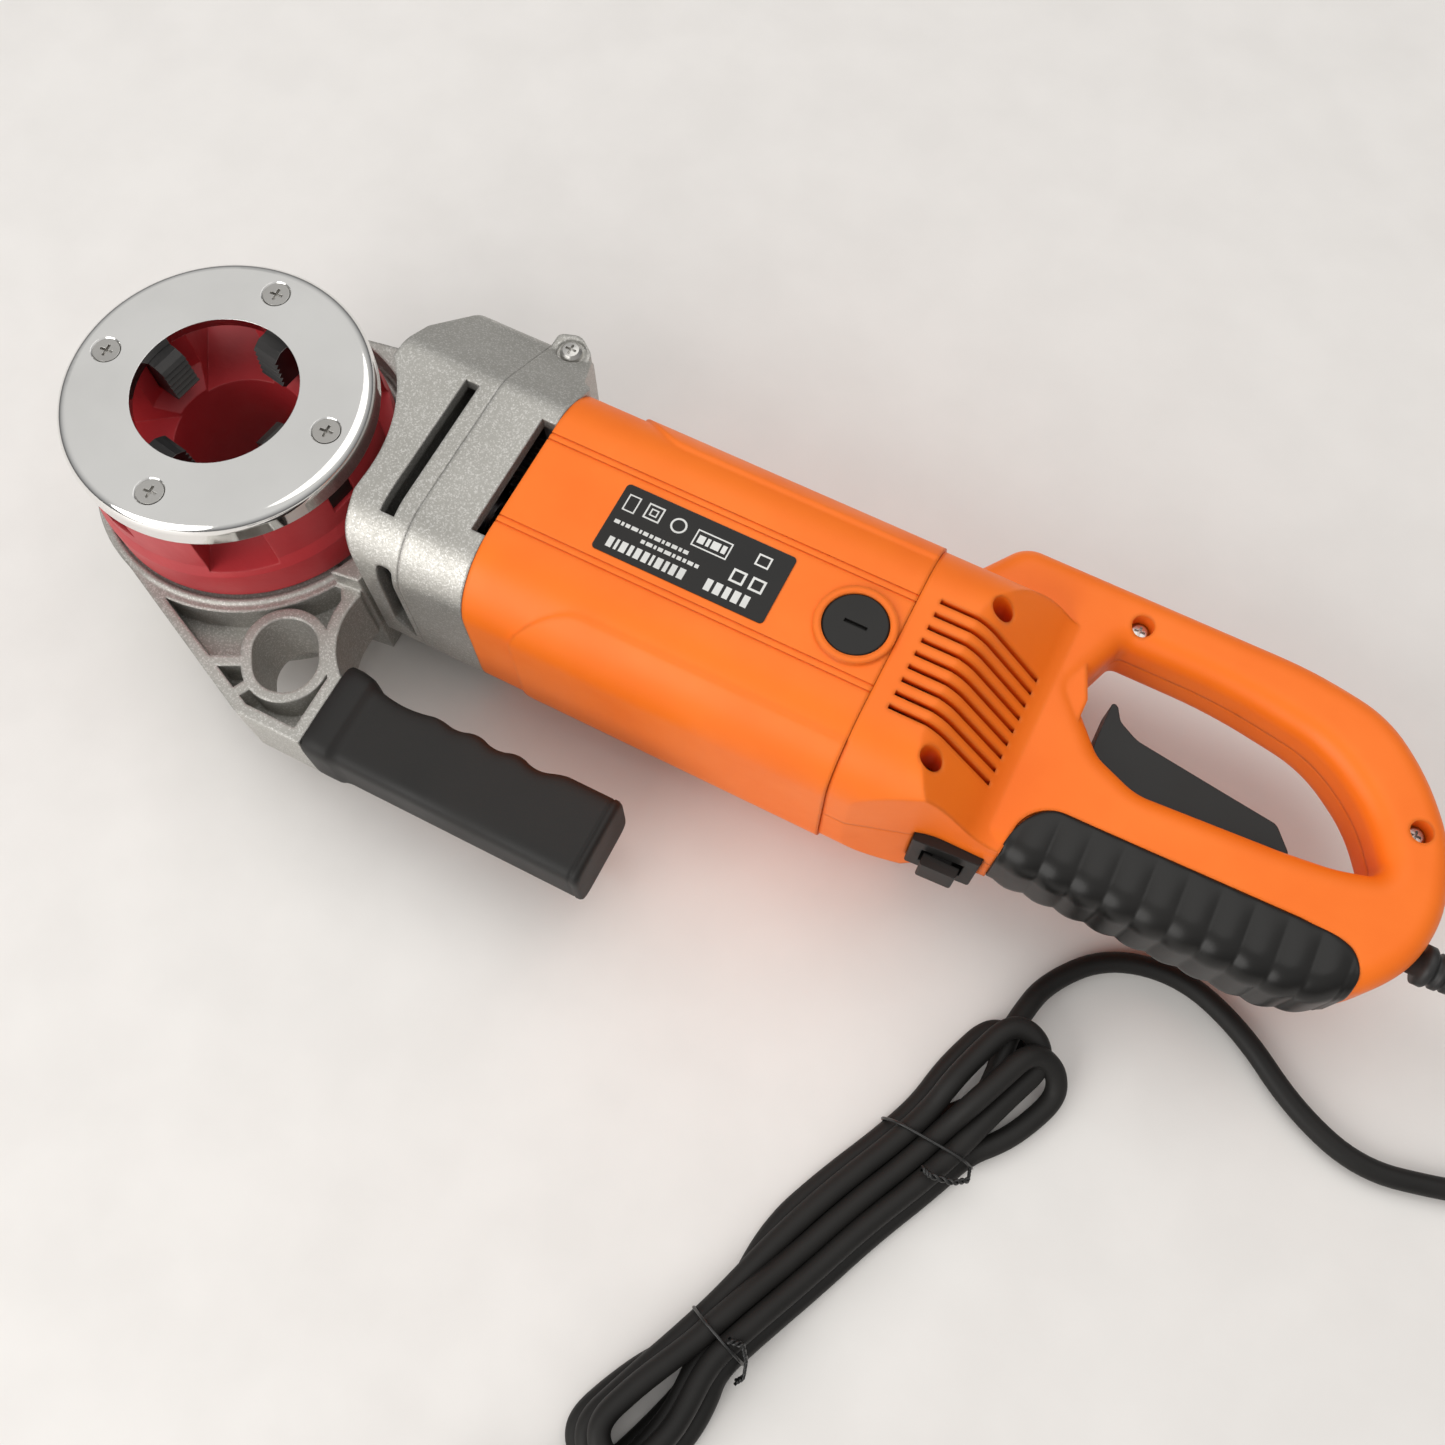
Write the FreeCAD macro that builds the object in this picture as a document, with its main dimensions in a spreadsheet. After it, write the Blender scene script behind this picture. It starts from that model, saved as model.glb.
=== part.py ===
import FreeCAD, Part
import math
import os
import Sketcher
from FreeCAD import Placement, Rotation, Vector

# Hand-held electric pipe threading machine, lying flat with the die head's cover plate up.
# Millimetres, +Z up. The origin is on the die head's axis, in the plane that the machine rests on.
# +X runs along the motor towards the rear handle, and the front grip is on the -Y side.

doc = FreeCAD.newDocument("pipe_threading_machine")
sheet = doc.addObject("Spreadsheet::Sheet", "sizes")

SIZES = [
    # die head
    ("plate_radius", 54.5), ("plate_thickness", 9.5), ("plate_web", 3.4), ("plate_rim", 50.4),
    ("plate_top", 95), ("plate_hole", 29),
    ("screw_circle", 43), ("head_radius", 54), ("head_skirt", 55.5), ("guide_radius", 24.5),
    ("shank_flats", 75.4), ("chaser_width", 10.3), ("chaser_reach", 20.5),
    # drive ring and castings
    ("hub_radius", 43.3), ("hub_flats", 76), ("bush_radius", 47), ("bush_narrow", 45),
    ("ring_outer", 59.5), ("ring_height", 47), ("running_gap", 0.05),
    ("neck_top", 56), ("flange_top", 48), ("flange_bottom", 18),
    # gear train
    ("spur_module", 1.25), ("ring_module", 2), ("bevel_module", 1.5),
    ("armature_teeth", 9), ("first_teeth", 37), ("layshaft_teeth", 10), ("second_teeth", 36),
    ("bevel_pinion_teeth", 14), ("bevel_gear_teeth", 20), ("ring_pinion_teeth", 13), ("ring_teeth", 48),
    # motor and its housings
    ("motor_y", 20.5), ("motor_z", 46), ("shell_width", 96), ("shell_height", 88), ("shell_corner", 25),
    ("casing_joint", 84), ("shell_front", 109), ("shell_back", 246), ("shell_wall", 3.5),
    ("core_radius", 27), ("stator_radius", 40), ("brush_x", 232), ("cap_radius", 11.2),
    # rear handle
    ("handle_bottom", 30.3), ("handle_top", 61.7), ("trigger_x", 384), ("trigger_y", 24),
    # front grip and cord
    ("grip_front", 75), ("grip_length", 109), ("grip_top", 50), ("grip_height", 33),
    ("grip_y", -70.5), ("grip_width", 35), ("cord_width", 7.5),
]
for row, (alias, number) in enumerate(SIZES, start=1):
    sheet.set(f"A{row}", alias)
    sheet.set(f"B{row}", str(number))
    sheet.setAlias(f"B{row}", alias)
doc.recompute()

SCREW_TURN = 4.5
CHASER_TURN = -10
WINDOW_TURN = CHASER_TURN - 45
pieces = {}


# ---------------------------------------------------------------- helpers

def amount(text):
    """The value of a sum of sheet aliases and numbers, such as "plate_top - 9.5"."""
    total = 0.0
    sign = 1
    for word in str(text).split():
        if word in "+-":
            sign = -1 if word == "-" else 1
        else:
            total += sign * (float(sheet.get(word)) if word[0].isalpha() else float(word))
            sign = 1
    return total


def bind(thing, target, text):
    """Sets a property to such a sum, as an expression where it names a cell."""
    words = str(text).split()
    if any(word[0].isalpha() for word in words):
        cells = ["sizes." + word if word[0].isalpha() else word for word in words]
        thing.setExpression(target, " ".join(cells))
        return
    if target.startswith("Placement.Base."):
        base = thing.Placement.Base
        setattr(base, target[-1], amount(text))
        thing.Placement.Base = base
        return
    setattr(thing, target, amount(text))


def put(thing, x=0, y=0, z=0, rotation=None):
    """Gives a piece its Placement, bound to the sheet where the place is named by it."""
    if rotation:
        thing.Placement = Placement(Vector(), rotation)
    for letter, text in (("x", x), ("y", y), ("z", z)):
        bind(thing, "Placement.Base." + letter, text)
    return thing


def outline_edges(corners):
    """Lines and tangent arcs through corners (x, y) or (x, y, corner radius), closed."""
    points = [Vector(amount(corner[0]), amount(corner[1]), 0) for corner in corners]
    radii = [corner[2] if len(corner) > 2 else 0 for corner in corners]
    starts = []
    ends = []
    arcs = []
    for index, point in enumerate(points):
        before = (points[index - 1] - point).normalize()
        after = (points[(index + 1) % len(points)] - point).normalize()
        if radii[index] == 0:
            starts.append(point)
            ends.append(point)
            arcs.append(None)
            continue
        half = before.getAngle(after) / 2
        reach = radii[index] / math.tan(half)
        centre = point + (before + after).normalize() * (radii[index] / math.sin(half))
        middle = centre + (point - centre).normalize() * radii[index]
        starts.append(point + before * reach)
        ends.append(point + after * reach)
        arcs.append(Part.Arc(starts[-1], middle, ends[-1]))
    edges = []
    for index, arc in enumerate(arcs):
        if arc:
            edges.append(arc)
        following = starts[(index + 1) % len(points)]
        if (following - ends[index]).Length > 1e-6:
            edges.append(Part.LineSegment(ends[index], following))
    return edges


def new_body(name):
    return doc.addObject("PartDesign::Body", name)


def sketch_on(body, role, lift=0):
    """An empty sketch on one of the body's own origin planes, raised by lift."""
    sketch = body.newObject("Sketcher::SketchObject", body.Name + "_sketch")
    plane = next(item for item in body.Origin.OriginFeatures if item.Role == role)
    sketch.AttachmentSupport = [(plane, "")]
    sketch.MapMode = "FlatFace"
    sketch.AttachmentOffset = Placement(Vector(0, 0, amount(lift)), Rotation())
    return sketch


def draw(body, role, corners, lift=0):
    """A sketch of one closed outline. Straight-sided outlines get their corners bound to the sheet."""
    sketch = sketch_on(body, role, lift)
    edges = outline_edges(corners)
    for edge in edges:
        sketch.addGeometry(edge, False)
    if all(len(corner) == 2 for corner in corners):
        count = len(edges)
        for index in range(count):
            sketch.addConstraint(Sketcher.Constraint("Coincident", index, 2, (index + 1) % count, 1))
        for index, corner in enumerate(corners):
            for kind, text in (("DistanceX", corner[0]), ("DistanceY", corner[1])):
                number = sketch.addConstraint(Sketcher.Constraint(kind, -1, 1, index, 1, amount(text)))
                if any(word[0].isalpha() for word in str(text).split()):
                    bind(sketch, f"Constraints[{number}]", text)
    return sketch


def draw_circles(body, role, circles, lift=0):
    """A sketch of circles (x, y, radius), each radius bound to the sheet."""
    sketch = sketch_on(body, role, lift)
    for index, (x, y, radius) in enumerate(circles):
        centre = Vector(amount(x), amount(y), 0)
        sketch.addGeometry(Part.Circle(centre, Vector(0, 0, 1), amount(radius)), False)
        number = sketch.addConstraint(Sketcher.Constraint("Radius", index, amount(radius)))
        if any(word[0].isalpha() for word in str(radius).split()):
            bind(sketch, f"Constraints[{number}]", radius)
    return sketch


def pad(body, sketch, length):
    step = body.newObject("PartDesign::Pad", body.Name + "_pad")
    step.Profile = sketch
    bind(step, "Length", length)
    sketch.Visibility = False
    return step


def pocket(body, sketch, depth, upward=False):
    """Cuts down from the sketch, or up from it, and makes sure that something was cut."""
    doc.recompute()
    before = body.Shape.Volume
    step = body.newObject("PartDesign::Pocket", body.Name + "_pocket")
    step.Profile = sketch
    step.Reversed = upward
    bind(step, "Length", depth)
    doc.recompute()
    if body.Shape.Volume > before - 0.01:
        raise RuntimeError("nothing was cut from " + body.Name)
    return step


def revolve(body, corners, role="XZ_Plane", axis="V_Axis", cut=False):
    """A turned solid, or a turned cut, from a half profile."""
    sketch = draw(body, role, corners)
    kind = "PartDesign::Groove" if cut else "PartDesign::Revolution"
    step = body.newObject(kind, body.Name + "_turned")
    step.Profile = sketch
    step.ReferenceAxis = (sketch, [axis])
    step.Angle = 360
    return step


def round_off(body, names, radius):
    """Fillets the named edges, or all edges of the named faces."""
    base = body.Tip
    rounding = body.newObject("PartDesign::Fillet", body.Name + "_rounding")
    rounding.Base = (base, names)
    rounding.Radius = radius
    doc.recompute()
    if rounding.Shape.isNull():
        raise RuntimeError("no rounding on " + body.Name)


def turned(name, corners):
    """A body turned about Z from (radius, height) corners."""
    body = new_body(name)
    revolve(body, corners)
    return body


def turned_along_x(name, corners):
    """A body turned about X from (distance along X, radius) corners."""
    body = new_body(name)
    revolve(body, corners, "XY_Plane", "H_Axis")
    return body


def prism(name, corners, bottom, height):
    """An outline in plan, padded upward."""
    body = new_body(name)
    pad(body, draw(body, "XY_Plane", corners), height)
    bind(body, "Placement.Base.z", bottom)
    return body


def bar(name, section, start, length):
    """A (y, z) section, padded along X."""
    body = new_body(name)
    pad(body, draw(body, "YZ_Plane", section), length)
    bind(body, "Placement.Base.x", start)
    return body


def side_slab(name, profile, start, width):
    """An (x, z) profile, padded along +Y from start."""
    body = new_body(name)
    sketch = draw(body, "XZ_Plane", profile)
    step = pad(body, sketch, width)
    step.Reversed = True
    bind(body, "Placement.Base.y", start)
    return body


def block(name, low, high):
    """A Part::Box from its lowest to its highest corner."""
    box = doc.addObject("Part::Box", name)
    for target, start, end in zip(("Length", "Width", "Height"), low, high):
        setattr(box, target, amount(end) - amount(start))
    return put(box, *low)


def rod(name, radius, length, x=0, y=0, z=0, along="z"):
    """A Part::Cylinder along Z, X or Y."""
    cylinder = doc.addObject("Part::Cylinder", name)
    bind(cylinder, "Radius", radius)
    bind(cylinder, "Height", length)
    turn = {"z": None, "x": Rotation(Vector(0, 1, 0), 90), "y": Rotation(Vector(1, 0, 0), -90)}[along]
    return put(cylinder, x, y, z, turn)


def fuse(name, solids):
    union = doc.addObject("Part::MultiFuse", name)
    union.Shapes = solids
    return union


def common(name, solids):
    overlap = doc.addObject("Part::MultiCommon", name)
    overlap.Shapes = solids
    return overlap


def cut(name, base, tools):
    """The base less all the tools."""
    difference = doc.addObject("Part::Cut", name)
    difference.Base = base
    difference.Tool = tools[0] if len(tools) == 1 else fuse(name + "_tools", tools)
    return difference


def feature(name, shape, place=None):
    """A Part::Feature, for shapes that only Part's own functions make."""
    thing = doc.addObject("Part::Feature", name)
    thing.Shape = shape
    if place:
        thing.Placement = place
    return thing


def copies(name, master, places):
    """One node of several identical solids."""
    doc.recompute()
    solids = []
    for place in places:
        solid = master.Shape.copy()
        solid.Placement = place.multiply(solid.Placement)
        solids.append(solid)
    return feature(name, Part.makeCompound(solids))


def around(radius, count, first, height=0):
    """Placements evenly spaced round the die axis, each turned to face outward."""
    places = []
    for index in range(count):
        turn = Rotation(Vector(0, 0, 1), first + 360 * index / count)
        places.append(Placement(turn.multVec(Vector(radius, 0, height)), turn))
    return places


def keep(thing, name=None):
    """Marks a document object as a sub-part, with its Label as the node's name."""
    thing.Label = name or thing.Name
    pieces[thing.Label] = thing
    return thing


# ---------------------------------------------------------------- gears

PRESSURE = math.radians(25)
ADDENDUM = 0.8
DEDENDUM = 1.05


def gear_wire(teeth, module, slack, turn=0.0, height=0.0, scale=1.0):
    """A closed involute outline with a tooth centred on the angle turn (radians)."""
    pitch = teeth * module / 2
    base = pitch * math.cos(PRESSURE)
    tip = pitch + ADDENDUM * module
    root = pitch - DEDENDUM * module
    start = max(base, root) * 1.0005

    def half_angle(radius):
        roll = math.acos(base / radius)
        half_tooth = (math.pi * module / 2 - slack) / (2 * pitch)
        return half_tooth + math.tan(PRESSURE) - PRESSURE - (math.tan(roll) - roll)

    def at(radius, angle):
        return Vector(radius * math.cos(angle), radius * math.sin(angle), 0) * scale + Vector(0, 0, height)

    steps = 4
    radii = [start + (tip - start) * step / steps for step in range(steps + 1)]
    edges = []
    for tooth in range(teeth):
        centre = turn + 2 * math.pi * tooth / teeth
        following = centre + 2 * math.pi / teeth
        rising = [at(radius, centre - half_angle(radius)) for radius in radii]
        falling = [at(radius, centre + half_angle(radius)) for radius in reversed(radii)]
        foot = half_angle(start)
        if root < start - 1e-6:
            edges.append(Part.LineSegment(at(root, centre - foot), rising[0]).toShape())
        for flank in (rising, falling):
            curve = Part.BSplineCurve()
            curve.interpolate(flank)
            edges.append(curve.toShape())
            if flank is rising:
                edges.append(Part.Arc(rising[-1], at(tip, centre), falling[0]).toShape())
        if root < start - 1e-6:
            edges.append(Part.LineSegment(falling[-1], at(root, centre + foot)).toShape())
        middle = centre + math.pi / teeth
        valley = Part.Arc(at(root, centre + foot), at(root, middle), at(root, following - foot))
        edges.append(valley.toShape())
    return Part.Wire(edges)


def spur(teeth, module, width, slack, turn=0.0):
    """A spur gear standing on z = 0."""
    return Part.Face(gear_wire(teeth, module, slack, turn)).extrude(Vector(0, 0, width))


def bevel(teeth, module, apex, face, slack, turn=0.0):
    """A straight bevel gear, big end at z = 0, tapering towards an apex above it."""
    shrink = 1 - face / apex
    wires = [gear_wire(teeth, module, slack, turn), gear_wire(teeth, module, slack, turn, face, shrink)]
    return Part.makeLoft(wires, True, True)


def number(alias):
    return int(amount(alias))


TO_X = Rotation(Vector(0, 1, 0), 90)

# ---------------------------------------------------------------- die head

def cover_plate():
    """Chromed steel plate with a deep rim, countersunk for four screws, that holds the chasers down."""
    body = turned("cover_plate", [
        ("plate_hole", "plate_thickness - plate_web"), ("plate_rim", "plate_thickness - plate_web"),
        ("plate_rim", 0), ("plate_radius", 0), ("plate_radius", "plate_thickness"),
        ("plate_hole", "plate_thickness")])
    bind(body, "Placement.Base.z", "plate_top - plate_thickness")
    doc.recompute()
    edges = [f"Edge{index + 1}" for index, edge in enumerate(body.Shape.Edges)
             if abs(edge.BoundBox.ZMin - amount("plate_top")) < 0.01 and edge.BoundBox.ZLength < 0.01
             and edge.BoundBox.XLength > 2 * amount("plate_hole") + 1]
    round_off(body, edges, 4)
    seats = draw_circles(body, "XY_Plane", [(place.Base.x, place.Base.y, 2.7)
                                            for place in around(amount("screw_circle"), 4, SCREW_TURN)],
                         "plate_thickness")
    doc.recompute()
    hole = body.newObject("PartDesign::Hole", "cover_plate_holes")
    hole.Profile = seats
    hole.Threaded = False
    hole.Diameter = 5.4
    hole.DepthType = "ThroughAll"
    hole.HoleCutType = "Countersink"
    hole.HoleCutCustomValues = True
    hole.HoleCutDiameter = 10.6
    hole.HoleCutCountersinkAngle = 90
    doc.recompute()
    keep(body)


def cross_recess(body, top, arm, wide, depth):
    """A cross-shaped driver recess, cut down from the top of a screw head."""
    for corners in (((-arm, -wide), (arm, -wide), (arm, wide), (-arm, wide)),
                    ((-wide, -arm), (wide, -arm), (wide, arm), (-wide, arm))):
        pocket(body, draw(body, "XY_Plane", corners, top), depth)


def cover_screws():
    """Countersunk cross-head screws, M5, through the cover plate into the head."""
    screw = turned("cover_screw", [(0, -22), (2.5, -22), (2.5, -2.4), (4.7, -0.2), (4.7, 0), (0, 0)])
    cross_recess(screw, 0, 2.4, 0.5, 1.6)
    seat = amount("plate_top") - 0.25
    keep(copies("cover_screws", screw, around(amount("screw_circle"), 4, SCREW_TURN, seat)))


def octagon(flats, sides=8):
    """Corners of an octagon with flats facing X."""
    corner = amount(flats) / 2 / math.cos(math.pi / sides)
    turns = [math.pi * (2 * side + 1) / sides for side in range(sides)]
    return [(corner * math.cos(turn), corner * math.sin(turn)) for turn in turns]


def die_head_body():
    """Red cast head: octagonal shank, skirt, four chaser slots, chip windows and the pipe guide bore."""
    body = new_body("die_head_body")
    pad(body, draw(body, "XY_Plane", octagon("shank_flats"), 5), 48)
    revolve(body, [
        ("guide_radius", 0), (34, 0), (36, 5.5), (36, 50), ("head_skirt", 50), ("head_skirt", 63),
        ("head_radius", 68), ("head_radius", "plate_top - plate_thickness"),
        ("plate_rim - 0.2", "plate_top - plate_thickness"), ("plate_rim - 0.2", "plate_top - plate_web"),
        ("guide_radius + 7", "plate_top - plate_web"), ("guide_radius + 7", 73), ("guide_radius", 67)])
    revolve(body, [(0, -1), ("guide_radius", -1), ("guide_radius", 60), (0, 60)], cut=True)
    top = amount("plate_top - plate_web")
    half = amount("chaser_width") / 2 + 0.15
    for turn, inner, halfway, depth in ((CHASER_TURN, 15, half, 16.3), (WINDOW_TURN, 20, 12, 26)):
        slot = pocket(body, draw(body, "XY_Plane", [
            (inner, -halfway), (60, -halfway), (60, halfway), (inner, halfway)], top), depth)
        sketch = slot.Profile[0]
        sketch.AttachmentOffset = Placement(Vector(0, 0, top), Rotation(Vector(0, 0, 1), turn))
        pattern = body.newObject("PartDesign::PolarPattern", "die_head_slots")
        pattern.Originals = [slot]
        pattern.Axis = (sketch, ["N_Axis"])
        pattern.Angle = 360
        pattern.Occurrences = 4
        body.Tip = pattern
        doc.recompute()
    holes = draw_circles(body, "XY_Plane", [(place.Base.x, place.Base.y, 2.55)
                                            for place in around(amount("screw_circle"), 4, SCREW_TURN)], top)
    pocket(body, holes, 20.5)
    keep(body)


def dies():
    """Four thread chasers, with tapered serrations on their inner ends."""
    pitch = 2.3
    crest = amount("chaser_reach")
    corners = [(52.5, 0), (52.5, 9.3), (49.9, 9.3), (49.9, 15.7), (crest + 5, 15.7)]
    for tooth in range(6):
        height = 14.2 - pitch * tooth
        taper = 1.2 - 0.2 * tooth
        corners.append((crest + taper + 1.3, height))
        corners.append((crest + taper, height - pitch / 2))
    corners.append((crest + 1.3, 0))
    body = new_body("chaser")
    blank = pad(body, draw(body, "XZ_Plane", corners), "chaser_width")
    blank.Midplane = True
    keep(copies("dies", body, around(0, 4, CHASER_TURN, amount("plate_top - plate_web") - 15.85)))


# ---------------------------------------------------------------- drive ring and its bearings

RING_GEAR_BOTTOM = 16
RING_GEAR_WIDTH = 16
COVER_SCREW_CIRCLE = 53.6
COVER_SCREW_TURN = 10
SLACK = 0.35


def train_places():
    """The shafts' axes: the layshaft beside the motor's, and the upright pinion shaft ahead of it."""
    spur_distance = (amount("armature_teeth") + amount("first_teeth")) * amount("spur_module") / 2
    ring_distance = (amount("ring_teeth") + amount("ring_pinion_teeth")) * amount("ring_module") / 2
    layshaft_y = amount("motor_y") + spur_distance
    pinion_x = math.sqrt(ring_distance ** 2 - amount("motor_y") ** 2)
    return layshaft_y, pinion_x


LAYSHAFT_Y, PINION_X = train_places()
MOTOR_Y = amount("motor_y")
MOTOR_Z = amount("motor_z")


def drive_ring():
    """The ring that turns the die head: octagonal bore, bearing hub and ring gear in one steel piece."""
    mesh_angle = math.atan2(MOTOR_Y, PINION_X)
    gear = spur(number("ring_teeth"), amount("ring_module"), RING_GEAR_WIDTH, SLACK, mesh_angle)
    gear.translate(Vector(0, 0, RING_GEAR_BOTTOM))
    hub = Part.makeCylinder(amount("hub_radius"), 40.7, Vector(0, 0, 5.3))
    wire = Part.Wire([edge.toShape() for edge in outline_edges(octagon("hub_flats"))])
    bore = Part.Face(wire).extrude(Vector(0, 0, 60))
    groove = Part.makeCylinder(50, 1.8, Vector(0, 0, 35)).cut(Part.makeCylinder(42.3, 1.8, Vector(0, 0, 35)))
    keep(feature("drive_ring", gear.fuse(hub).cut(bore).cut(groove)))


def snap_ring():
    """Spring circlip in the hub's groove."""
    body = turned("snap_ring_blank", [(42.35, 35.1), (44.2, 35.1), (44.2, 36.7), (42.35, 36.7)])
    keep(cut("snap_ring", body, [block("snap_ring_gap", (-50, -4, 34), (-40, 4, 38))]))


def ring_bushes():
    """Bronze bushes that the hub turns in."""
    keep(turned("ring_bush_upper", [
        ("hub_radius + running_gap", 40), ("bush_narrow", 40), ("bush_narrow", 45.9),
        ("hub_radius + running_gap", 45.9)]))
    keep(turned("ring_bush_lower", [
        ("hub_radius + running_gap", 5.3), ("bush_radius", 5.3), ("bush_radius", 15.4),
        ("hub_radius + running_gap", 15.4)]))


def ring_cover():
    """Cover below the ring gear, with the collar that holds the lower bush, and its six screws."""
    body = turned("ring_cover_blank", [
        ("bush_narrow", 0.6), (55.9, 0.6), (55.9, 4.9), (51.5, 4.9), (51.5, 15.6), ("bush_radius", 15.6),
        ("bush_radius", 5.2), ("bush_narrow", 5.2)])
    screws = around(COVER_SCREW_CIRCLE, 6, COVER_SCREW_TURN)
    holes = [rod(f"ring_cover_hole_{index}", 1.6, 6, place.Base.x, place.Base.y, 0.2)
             for index, place in enumerate(screws)]
    keep(cut("ring_cover", body, holes))
    screw = turned("ring_cover_screw", [(0, 0.5), (1.5, 0.5), (1.5, 12), (0, 12)])
    keep(copies("ring_cover_screws", screw, screws))


# ---------------------------------------------------------------- gear train

def meshed_turn(angle, teeth):
    """The phase (radians) of a gear with a tooth space at the angle where its neighbour has a tooth."""
    return angle + math.pi / teeth


def shafts_along_x(name, corners, gears, y):
    """A shaft along X with spur gears on it: gears are (shape, x)."""
    body = turned_along_x(name + "_bar", corners)
    doc.recompute()
    shape = body.Shape
    for gear, x in gears:
        solid = gear.copy()
        solid.Placement = Placement(Vector(x, 0, 0), TO_X)
        shape = shape.fuse(solid)
    return feature(name, shape, Placement(Vector(0, y, MOTOR_Z), Rotation()))


def armature_pinion():
    # TO_X takes the gear's own +Y to +Y and its +X to -Z, so a tooth towards +Y is at 90 degrees
    return spur(number("armature_teeth"), amount("spur_module"), 8, SLACK / 2, math.pi / 2)


def gear_on_x(name, teeth, width, x, y, bore, turn):
    """A spur gear with a bore and a lightened web, on a shaft along X."""
    radius = teeth * amount("spur_module") / 2
    blank = spur(teeth, amount("spur_module"), width, SLACK / 2, turn)
    web = Part.makeCylinder(radius - 4.5, 1.6).cut(Part.makeCylinder(bore + 4, 1.6))
    far_web = web.copy()
    far_web.translate(Vector(0, 0, width - 1.6))
    solid = blank.cut(Part.makeCylinder(bore, width)).cut(web).cut(far_web)
    return feature(name, solid, Placement(Vector(x, y, MOTOR_Z), TO_X))


def gear_train():
    """Armature pinion to layshaft, layshaft to second gear, a bevel pair, and the ring pinion."""
    towards_layshaft = math.pi / 2
    towards_motor = -math.pi / 2
    keep(gear_on_x("first_gear", number("first_teeth"), 7, 93.5, LAYSHAFT_Y, 5,
                   meshed_turn(towards_motor, number("first_teeth"))))
    keep(gear_on_x("second_gear", number("second_teeth"), 7, 85.5, MOTOR_Y, 5,
                   meshed_turn(towards_layshaft, number("second_teeth"))))
    pinion = spur(number("layshaft_teeth"), amount("spur_module"), 8, SLACK / 2, towards_motor)
    keep(shafts_along_x("layshaft", [(76.2, 0), (76.2, 3.95), (85, 3.95), (93.4, 4.6), (93.4, 5), (100.6, 5),
                                     (100.6, 3.95), (108.2, 3.95), (108.2, 0)], [(pinion, 85)], LAYSHAFT_Y))
    apex = amount("bevel_gear_teeth") * amount("bevel_module") / 2
    small = bevel(number("bevel_pinion_teeth"), amount("bevel_module"), apex, 5.5, SLACK / 2, math.pi / 2)
    small.Placement = Placement(Vector(PINION_X + apex, 0, 0), Rotation(Vector(0, 1, 0), -90))
    body = turned_along_x("bevel_pinion_bar", [
        (PINION_X + apex - 1, 0), (PINION_X + apex - 1, 7.5), (75.8, 7.5), (75.8, 5), (92.6, 5), (92.6, 0)])
    doc.recompute()
    keep(feature("bevel_pinion_shaft", body.Shape.fuse(small),
                 Placement(Vector(0, MOTOR_Y, MOTOR_Z), Rotation())))


def upright_shaft():
    """The upright shaft with the pinion that drives the ring, and the bevel gear pressed on it."""
    mesh_angle = math.atan2(MOTOR_Y, PINION_X) + math.pi
    pinion = spur(number("ring_pinion_teeth"), amount("ring_module"), RING_GEAR_WIDTH, SLACK,
                  meshed_turn(mesh_angle, number("ring_pinion_teeth")))
    pinion.translate(Vector(0, 0, RING_GEAR_BOTTOM))
    shaft = turned("pinion_bar", [
        (0, 6.3), (3.95, 6.3), (3.95, 12.5), (6, 12.5), (6, 39.7), (3.95, 39.7), (3.95, 45.2), (0, 45.2)])
    doc.recompute()
    keep(feature("pinion_shaft", shaft.Shape.fuse(pinion),
                 Placement(Vector(PINION_X, MOTOR_Y, 0), Rotation())))
    bush = turned("pinion_bush", [(4, 40.4), (6.5, 40.4), (6.5, 45.4), (4, 45.4)])
    keep(put(bush, PINION_X, MOTOR_Y, 0))
    apex = amount("bevel_pinion_teeth") * amount("bevel_module") / 2
    blank = bevel(number("bevel_gear_teeth"), amount("bevel_module"), apex, 3.85, SLACK / 2)
    back = Part.makeCylinder(12.5, 2, Vector(0, 0, -1.95))
    gear = blank.fuse(back).cut(Part.makeCylinder(6, 10, Vector(0, 0, -3)))
    keep(feature("bevel_gear", gear, Placement(Vector(PINION_X, MOTOR_Y, MOTOR_Z - apex), Rotation())))


def ball_bearing(name, inner, outer, width):
    """A shielded ball bearing, seen from outside as rings with a shallow recessed shield."""
    rim = (outer - inner) * 0.25
    return turned(name, [
        (inner, 0), (inner + rim, 0), (inner + rim, 0.4), (outer - rim, 0.4), (outer - rim, 0), (outer, 0),
        (outer, width), (outer - rim, width), (outer - rim, width - 0.4), (inner + rim, width - 0.4),
        (inner + rim, width), (inner, width)])


def bearings():
    """Ball bearings of the gear shafts and of the armature."""
    small = ball_bearing("small_bearing", 4, 9.4, 5.8)
    wide = ball_bearing("wide_bearing", 5.05, 11, 7.4)
    large = ball_bearing("large_bearing", 5.05, 13, 6.6)
    doc.recompute()
    upright = [Placement(Vector(PINION_X, MOTOR_Y, 6.4), Rotation())]
    beside = [Placement(Vector(x, LAYSHAFT_Y, MOTOR_Z), TO_X) for x in (76.3, 102.3)]
    keep(copies("gear_bearings", small, upright + beside))
    keep(copies("bevel_shaft_bearing", wide, [Placement(Vector(76, MOTOR_Y, MOTOR_Z), TO_X)]))
    keep(copies("armature_bearings", large, [
        Placement(Vector(x, MOTOR_Y, MOTOR_Z), TO_X) for x in (104.2, 246.8)]))


# ---------------------------------------------------------------- castings

def casing_section(inset):
    """(y, z) section of the silver castings: the motor's rounded box with a bulge over the layshaft."""
    near = -27.5 + inset
    low = 2 + inset
    high = 90 - inset
    return [(near, low, 24 - inset), (66, low, 12 - inset), (83 - inset, 14, 12 - inset),
            (83 - inset, 72 - inset / 2, 9 - inset), (50, high, 14 - inset), (near, high, 24 - inset)]


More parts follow.
